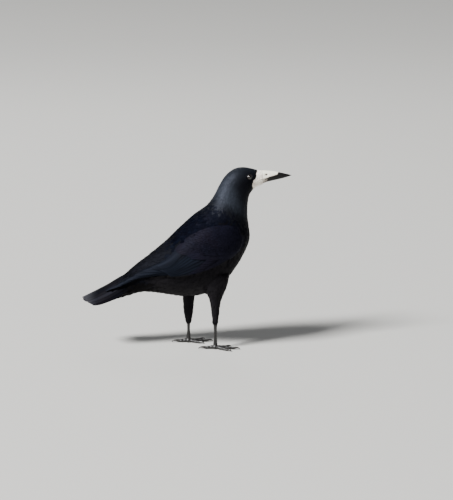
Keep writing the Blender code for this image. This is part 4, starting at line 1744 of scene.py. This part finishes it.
@dataclass
class Bill:
    """Both halves of the bill, from inside the face to the tip, with nostrils in the upper one."""

    # (distance ahead, culmen height, lower edge height, half width), in millimetres
    rows: tuple = (
        (125.5, 290.0, 269.2, 7.6), (131.5, 291.6, 268.4, 8.3), (143.0, 291.5, 271.8, 7.2),
        (158.0, 289.7, 275.2, 5.2), (171.0, 287.0, 278.4, 3.3), (180.5, 284.7, 281.4, 1.6),
        (184.2, 283.5, 282.8, 0.45),
    )
    bite: tuple = ((125.5, 273.6), (133.3, 277.2), (147.4, 280.8), (165.0, 282.5), (184.2, 283.1))
    # On the upper half the horn is dark below this line: (distance ahead, height)
    dark_line: tuple = (
        (125.0, 273.0), (129.0, 276.2), (143.5, 280.8), (152.0, 283.0), (159.0, 285.2),
        (165.0, 293.0),
    )
    # How dark it is there: (distance ahead, share)
    worn: tuple = ((129.5, 0.0), (134.0, 0.36), (141.0, 0.48), (149.0, 0.9), (168.0, 1.0))
    nostril: tuple = (140.4, 285.0)
    nostril_size: tuple = (2.9, 1.35)  # half length and half height
    nostril_depth: float = 1.5
    # The nostril's dark patch is painted shade in its pit.
    nostril_shade: tuple = (2.6, 1.2)  # half length and half height of its dark patch
    swelling: tuple = (139, 287.6)  # the middle of the sheath's swelling over the nostril
    shorter: float = 0.9  # how far the lower tip falls short of the upper
    rings: int = 96
    sides: int = 44
    finish: BillHorn = BillHorn("bill horn, chalky at the base, black to the tip")

    def ahead(self, share: Array, short: float = 0.0) -> Array:
        """Distances ahead, by the share of the way to the tip, or to this much short of it."""
        first, last = self.rows[0][0], self.rows[-1][0] - short
        return first + (last - first) * share

    def nostril_at(self, x: Array, z: Array, size: tuple) -> Array:
        """One in the nostril, falling to zero outside an ellipse of this size round it."""
        near = ((x - self.nostril[0]) / size[0]) ** 2 + ((z - self.nostril[1]) / size[1]) ** 2
        return np.exp(-(near**1.5))

    def upper(self, share: Array, turn: Array, reach: Array) -> Array:
        """The upper half: a ridged roof with sharp edges that overhang the lower half."""
        x = self.ahead(share)
        culmen, _, wide = columns_at(self.rows, x)
        bite = smooth_value(self.bite, x)
        s, c = np.sin(turn), np.cos(turn)
        rise = np.maximum(0.35, culmen - bite)
        ridge = 1.02 + 0.25 * share
        z = np.where(s >= 0, bite - 0.25 + rise * np.abs(s) ** ridge, bite - 0.25 + 0.35 * s)
        y = wide * c
        y -= np.sign(y) * self.nostril_depth * self.nostril_at(x, z, self.nostril_size) * (s > 0)
        swell_x, swell_z = (x - self.swelling[0]) ** 2 / 40, (z - self.swelling[1]) ** 2 / 4
        y += np.sign(y) * 0.35 * np.exp(-swell_x - swell_z) * (s > 0)
        middle = bite + 0.4 * rise
        return np.stack([x, y * reach, middle + (z - middle) * reach], 1)

    def lower(self, share: Array, turn: Array, reach: Array) -> Array:
        """The lower half: a keel that fits inside the upper half's edges."""
        x = self.ahead(share, self.shorter)
        _, low, wide = columns_at(self.rows, x)
        s, c = np.sin(turn), np.cos(turn)
        top = smooth_value(self.bite, x) - 0.5
        deep = np.maximum(0.3, top - low)
        z = np.where(s >= 0, top + 0.3 * s, top - deep * np.abs(s) ** (1.0 + 0.2 * share))
        y = (wide * 0.95 - 0.1) * c
        middle = top - 0.4 * deep
        return np.stack([x, y * reach, middle + (z - middle) * reach], 1)

    def build(self) -> None:
        """Shape both halves and mark where the horn is dark."""
        material = self.finish.make()
        for name, place in (("upper_bill", self.upper), ("lower_bill", self.lower)):
            piece = sleeve(f"{name}_sheath", self.sides, self.rings, place)
            x, _, z = (mesh_points(piece.data) / MM).T
            dark = table_value(self.worn, x)
            if place == self.upper:
                dark = dark * ease((table_value(self.dark_line, x) - z) / 3.0 + 0.5)
                # Painted shade round the nostril, as in its pit.
                dark = np.maximum(dark, 0.85 * self.nostril_at(x, z, self.nostril_shade))
            point_values(piece.data, "dark", dark)
            smooth_by_angle(piece.data, 60)
            hand_over(piece, material, "horn", name)


@dataclass
class Eyes:
    """Eyeballs with pupil and iris, and the lids round them."""

    form: CoatForm
    radius: float = 4.75
    sight: tuple = (0.3, 1.0, 0.14)  # the way that the left eye looks
    bulge: float = 0.03  # how far the cornea swells, as a share of the radius
    bulge_angle: float = 30.0  # and how far from its middle, in degrees
    ring_angle: float = 60.0  # the ring attribute is one this far from the middle
    rim: float = 0.6
    rim_shape: tuple = (1.1, 0.96, 1.15)
    rim_sunk: float = 0.35  # how far the lids' rim lies under the coat
    brow: float = 5.5  # how far from an eye's middle the coat is sounded for the lids' plane
    soundings: int = 24
    eye_finish: EyeGloss = EyeGloss("wet eye, dark brown")
    lid_finish: LidSkin = LidSkin("eyelid rim, dark grey skin")

    def build(self) -> None:
        """Make both eyes and their lids."""
        gloss, lid = self.eye_finish.make(), self.lid_finish.make()
        for side in Side:
            centre = Vector((EYE[0], side.value * EYE[1], EYE[2])) * MM
            self.ball(side, centre, gloss)
            self.lids(side, centre, lid)

    def ball(self, side: Side, centre: Vector, finish: bpy.types.Material) -> None:
        """One eyeball, a little flatter at the rim than over the pupil."""
        make_active()
        bpy.ops.mesh.primitive_uv_sphere_add(
            segments=48, ring_count=32, radius=self.radius * MM, location=centre
        )
        piece = just_added(f"eyeball_{side.word}")
        settle(piece)
        axis = Vector((self.sight[0], side.value * self.sight[1], self.sight[2])).normalized()
        points = mesh_points(piece.data) - np.array(centre)
        angle = np.degrees(np.arccos(np.clip(unit(points) @ np.array(axis), -1, 1)))
        bulge = 1 + self.bulge * np.exp(-((angle / self.bulge_angle) ** 2))
        set_points(piece.data, points * bulge[:, None] + np.array(centre))
        point_values(piece.data, "ring", np.clip(angle / self.ring_angle, 0, 1))
        piece.data.shade_smooth()
        hand_over(piece, finish, "eye", f"eye_{side.word}")

    def lid_plane(self, side: Side, centre: Vector) -> tuple[Vector, float]:
        """Find the plane of the coat round an eye.

        Args:
            side: which side the eye is on.
            centre: the eyeball's middle.

        Returns:
            The way that the plane faces, and how far it lies from the middle, in millimetres.
        """
        inward = Vector((0.0, -side.value, 0.0))
        hits = []
        for turn in np.linspace(0, math.tau, self.soundings, endpoint=False):
            ring = Vector((math.cos(turn), 0.0, math.sin(turn))) * (self.brow * MM)
            hits.append(self.form.tree.ray_cast(centre + ring - inward * 0.03, inward)[0])
        middle = sum(hits, Vector()) / len(hits)
        axis = Vector()
        for one, two in zip(hits, hits[1:] + hits[:1]):
            axis += (one - middle).cross(two - middle)
        axis = axis.normalized() * math.copysign(1.0, axis.y * side.value)
        return axis, (middle - centre).dot(axis) / MM

    def lids(self, side: Side, centre: Vector, finish: bpy.types.Material) -> None:
        """The rim of the lids: a ring on the eyeball, longer fore and aft than it is high."""
        normal, away = self.lid_plane(side, centre)
        away = min(away - self.rim_sunk, self.radius * 0.8)
        wide = math.sqrt(self.radius**2 - away**2) + 0.1
        make_active()
        bpy.ops.mesh.primitive_torus_add(
            major_segments=48, minor_segments=10, major_radius=wide * MM, minor_radius=self.rim * MM
        )
        piece = just_added(f"eyelids_{side.word}")
        with edit_mode(piece):
            bpy.ops.transform.resize(value=self.rim_shape)
        ahead = (Vector((1, 0, 0)) - normal * normal.x).normalized()
        piece.location = centre + normal * (away * MM)
        turn = Matrix((ahead, normal.cross(ahead), normal)).transposed()
        piece.rotation_euler = turn.to_euler()
        settle(piece)
        piece.data.shade_smooth()
        hand_over(piece, finish, "face")


@dataclass(frozen=True)
class Toe:
    """One toe: its number, its turn from straight ahead to the outer side, and its sizes."""

    number: int
    turn: float
    length: float
    root_radius: float
    tip_radius: float
    claw: float


@dataclass
class Leg:
    """Bare leg and foot, with plates on the shank's front and the toes' tops, and the claws."""

    side: Side
    foot_x: float
    foot_side: float = 24.0
    # (height, half length fore and aft, half width)
    shank: tuple = (
        (3.5, 4.2, 4.2), (9.0, 3.6, 3.3), (17.0, 2.75, 2.25), (38.0, 2.8, 2.3), (47.0, 3.5, 3.2),
        (58.0, 3.6, 3.4),
    )
    toes: tuple = (
        Toe(1, 180.0, 18.0, 3.3, 2.6, 12.5),
        Toe(2, -26.0, 23.0, 3.0, 2.2, 9.0),
        Toe(3, 6.0, 34.0, 3.2, 2.3, 10.5),
        Toe(4, 36.0, 27.0, 3.0, 2.1, 9.0),
    )
    plate: float = 4.4  # height of a plate on the shank
    ring_plate: float = 2.6  # length of a plate on a toe
    sole_top: float = 7.0  # how high the foot's parts may reach
    # (sides, rings) of the tubes
    shank_grid: tuple = (40, 120)
    toe_grid: tuple = (28, 90)
    claw_grid: tuple = (20, 26)
    voxel: float = 0.42
    pad_size: tuple = (5.6, 5.4, 4.6)
    pad_height: float = 3.4
    scale_finish: LegScale = LegScale("leg scales, black horn")
    claw_finish: ClawHorn = ClawHorn("claw horn, black")

    def shank_at(self, share: Array, turn: Array, reach: Array) -> Array:
        """The shank, whose front steps where one plate laps the next."""
        low, high = self.shank[0][0], self.shank[-1][0]
        height = low + share * (high - low)
        long, wide = columns_at(self.shank, height)
        c, s = np.cos(turn), np.sin(turn)
        # Each plate stands 0.6 mm over the next at the front, and the back has low rings.
        saw = 1 - (height / self.plate) % 1.0
        step = 0.6 * saw**1.3 * ease(c * 1.6) + 0.14 * ease(-c * 2) * np.sin(height * 2.2)
        x = self.foot_x + (long + step) * c * reach
        y = self.side.value * self.foot_side + (wide + 0.4 * step) * s * reach
        return np.stack([x, y, height], 1)

    def along_toe(self, toe: Toe, far: Array, side: Array) -> Array:
        """Points on the floor, by how far they lie out along a toe and to its side."""
        heading = math.radians(toe.turn)
        ahead = np.array((math.cos(heading), self.side.value * math.sin(heading), 0.0))
        across = np.array((-ahead[1], ahead[0], 0.0))
        base = np.array((self.foot_x, self.side.value * self.foot_side, 0.0))
        return base + ahead * far[:, None] + across * side[:, None]

    def toe_at(self, toe: Toe, share: Array, turn: Array, reach: Array) -> Array:
        """A toe: ringed plates above, three pads below, its end rounded."""
        far = 0.5 + share * toe.length
        radius = toe.root_radius + share * (toe.tip_radius - toe.root_radius)
        # Three pads swell along it, and its last tenth is rounded off.
        radius = radius * (1 + 0.09 * np.cos(6 * math.pi * share))
        radius = radius * np.sqrt(np.clip(1 - ((share - 0.9) / 0.1).clip(0, 1) ** 2, 0.12, 1))
        height = toe.root_radius * 0.86 + share * (toe.tip_radius - toe.root_radius) * 0.86
        height = height + 1.4 * (1 - share) ** 2
        saw = 1 - (far / self.ring_plate) % 1.0
        s = np.sin(turn)
        step = 0.45 * saw**1.3 * ease(s * 1.8)
        points = self.along_toe(toe, far, (radius + 0.4 * step) * np.cos(turn) * reach)
        points[:, 2] = np.clip(height + (radius + step) * s * reach, 0.0, self.sole_top)
        return points

    def claw_at(self, toe: Toe, share: Array, turn: Array, reach: Array) -> Array:
        """A claw, curved down to the floor and flat underneath."""
        # It turns down by 64 degrees as it thins from the toe's end to a point on the floor.
        base = toe.tip_radius * 1.05
        bend = np.radians(64 * share)
        far = toe.length - 0.6 + toe.claw * np.sin(np.radians(82) * share)
        height = base + 1.1 * np.sin(math.pi * share) - (base - 0.5) * share**1.6
        radius = 0.9 * toe.tip_radius * (1 - share) ** 0.75 + 0.2
        s = np.sin(turn)
        rise = radius * np.where(s > 0, s, 0.8 * s) * reach
        side = 0.8 * radius * np.cos(turn) * reach
        points = self.along_toe(toe, far + rise * np.sin(bend), side)
        points[:, 2] = np.maximum(0.0, height + rise * np.cos(bend))
        return points

    def pad(self) -> Piece:
        """The pad of the foot, where the toes meet, with a flat sole."""
        make_active()
        bpy.ops.mesh.primitive_uv_sphere_add(segments=32, ring_count=20, radius=1.0)
        pad = just_added("pad")
        points = mesh_points(pad.data) * self.pad_size
        points += (self.foot_x, self.side.value * self.foot_side, self.pad_height)
        points[:, 2] = np.clip(points[:, 2], 0.0, self.sole_top)
        set_points(pad.data, points * MM)
        return pad

    def build(self) -> None:
        """Shape the leg and its claws."""
        word = self.side.word
        parts = [sleeve("shank", *self.shank_grid, self.shank_at)]
        parts += [sleeve("toe", *self.toe_grid, partial(self.toe_at, toe)) for toe in self.toes]
        leg = join(f"leg_{word}_scaled", [*parts, self.pad()])
        apply_modifier(leg, "REMESH", mode="VOXEL", voxel_size=self.voxel * MM)
        apply_modifier(leg, "SMOOTH", factor=0.5, iterations=1)
        points = mesh_points(leg.data)
        points[:, 2] = np.maximum(points[:, 2], 0.0)
        set_points(leg.data, points)
        leg.data.shade_smooth()
        claws = [sleeve("claw", *self.claw_grid, partial(self.claw_at, toe)) for toe in self.toes]
        horn = join(f"claws_{word}_horn", claws)
        smooth_by_angle(horn.data, 50)
        nodes = (f"shank_{word}", f"foot_{word}")
        hand_over(leg, self.scale_finish.make(), "scales", *nodes, lift=0.0)
        nodes = (f"claw_{word}_{toe.number}" for toe in self.toes)
        hand_over(horn, self.claw_finish.make(), "horn", *nodes, lift=0.0)


# ------------ Camera, light and floor ------------


@dataclass
class Studio:
    """A pale floor, soft light from behind the bird's right shoulder, and a long lens."""

    elevation: float = 12.0
    distance: float = 4.0
    lens: float = 163.6
    sensor: float = 36.0
    aim: tuple = (0.0708, 0.0, 0.1734)
    # (name, place, size in metres, watts)
    lamps: tuple = (
        ("key", (-8.46, -6.0, 10.32), 3.6, 6700.0),
        ("fill", (1.6, -3.4, 1.8), 2.6, 9.5),
        ("back", (-0.4, 2.9, 2.3), 1.6, 22.0),
    )
    lit: tuple = (0.02, 0.0, 0.16)  # the point that the lamps face
    sky: str = "#dfe3ea"
    sky_strength: float = 0.21
    floor_size: float = 60.0
    floor_finish: StudioFloor = StudioFloor("matt studio paint")

    def build(self) -> None:
        """Set the camera, lights, background and floor."""
        self.set_camera()
        for lamp in self.lamps:
            self.add_lamp(*lamp)
        world = bpy.data.worlds.new("studio")
        bpy.context.scene.world = world
        world.use_nodes = True
        inputs = {"Color": self.sky, "Strength": self.sky_strength}
        fill(world.node_tree.nodes["Background"], inputs)
        make_active()
        bpy.ops.mesh.primitive_plane_add(size=self.floor_size, location=(0.0, 0.0, 0.0))
        floor = just_added("floor")
        floor.data.materials.append(self.floor_finish.make())

    def set_camera(self) -> None:
        """Aim a long lens at the bird's right side from a little above."""
        tilt = math.radians(self.elevation)
        data = bpy.data.cameras.new("camera")
        data.lens = self.lens
        data.sensor_width = self.sensor
        data.clip_end = 100.0
        camera = new_object("camera", data)
        back = Vector((0.0, -math.cos(tilt), math.sin(tilt)))
        camera.location = Vector(self.aim) + back * self.distance
        camera.rotation_euler = (math.radians(90) - tilt, 0.0, 0.0)
        bpy.context.scene.camera = camera

    def add_lamp(self, name: str, place: tuple, size: float, watts: float) -> None:
        """Add a square lamp here, facing the bird."""
        light = bpy.data.lights.new(name, "AREA")
        light.energy, light.size = watts, size
        lamp = new_object(name, light)
        lamp.location = place
        way = Vector(self.lit) - Vector(place)
        lamp.rotation_euler = way.to_track_quat("-Z", "Y").to_euler()


def main() -> None:
    """Build every sub-assembly in order and report each piece."""
    logging.basicConfig(level=logging.INFO, format="%(message)s")
    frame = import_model()
    Studio().build()
    chart = BodyChart()
    form = CoatForm(frame)
    skin = Skin(form, chart)
    skin.build()
    ContourPlumage(form, chart, skin).build()
    for side in Side:
        FoldedWing(form, side).build()
    Tail().build()
    Bill().build()
    Eyes(form).build()
    Leg(Side.LEFT, 3.0).build()
    Leg(Side.RIGHT, 51.0).build()


if __name__ == "__main__":
    main()
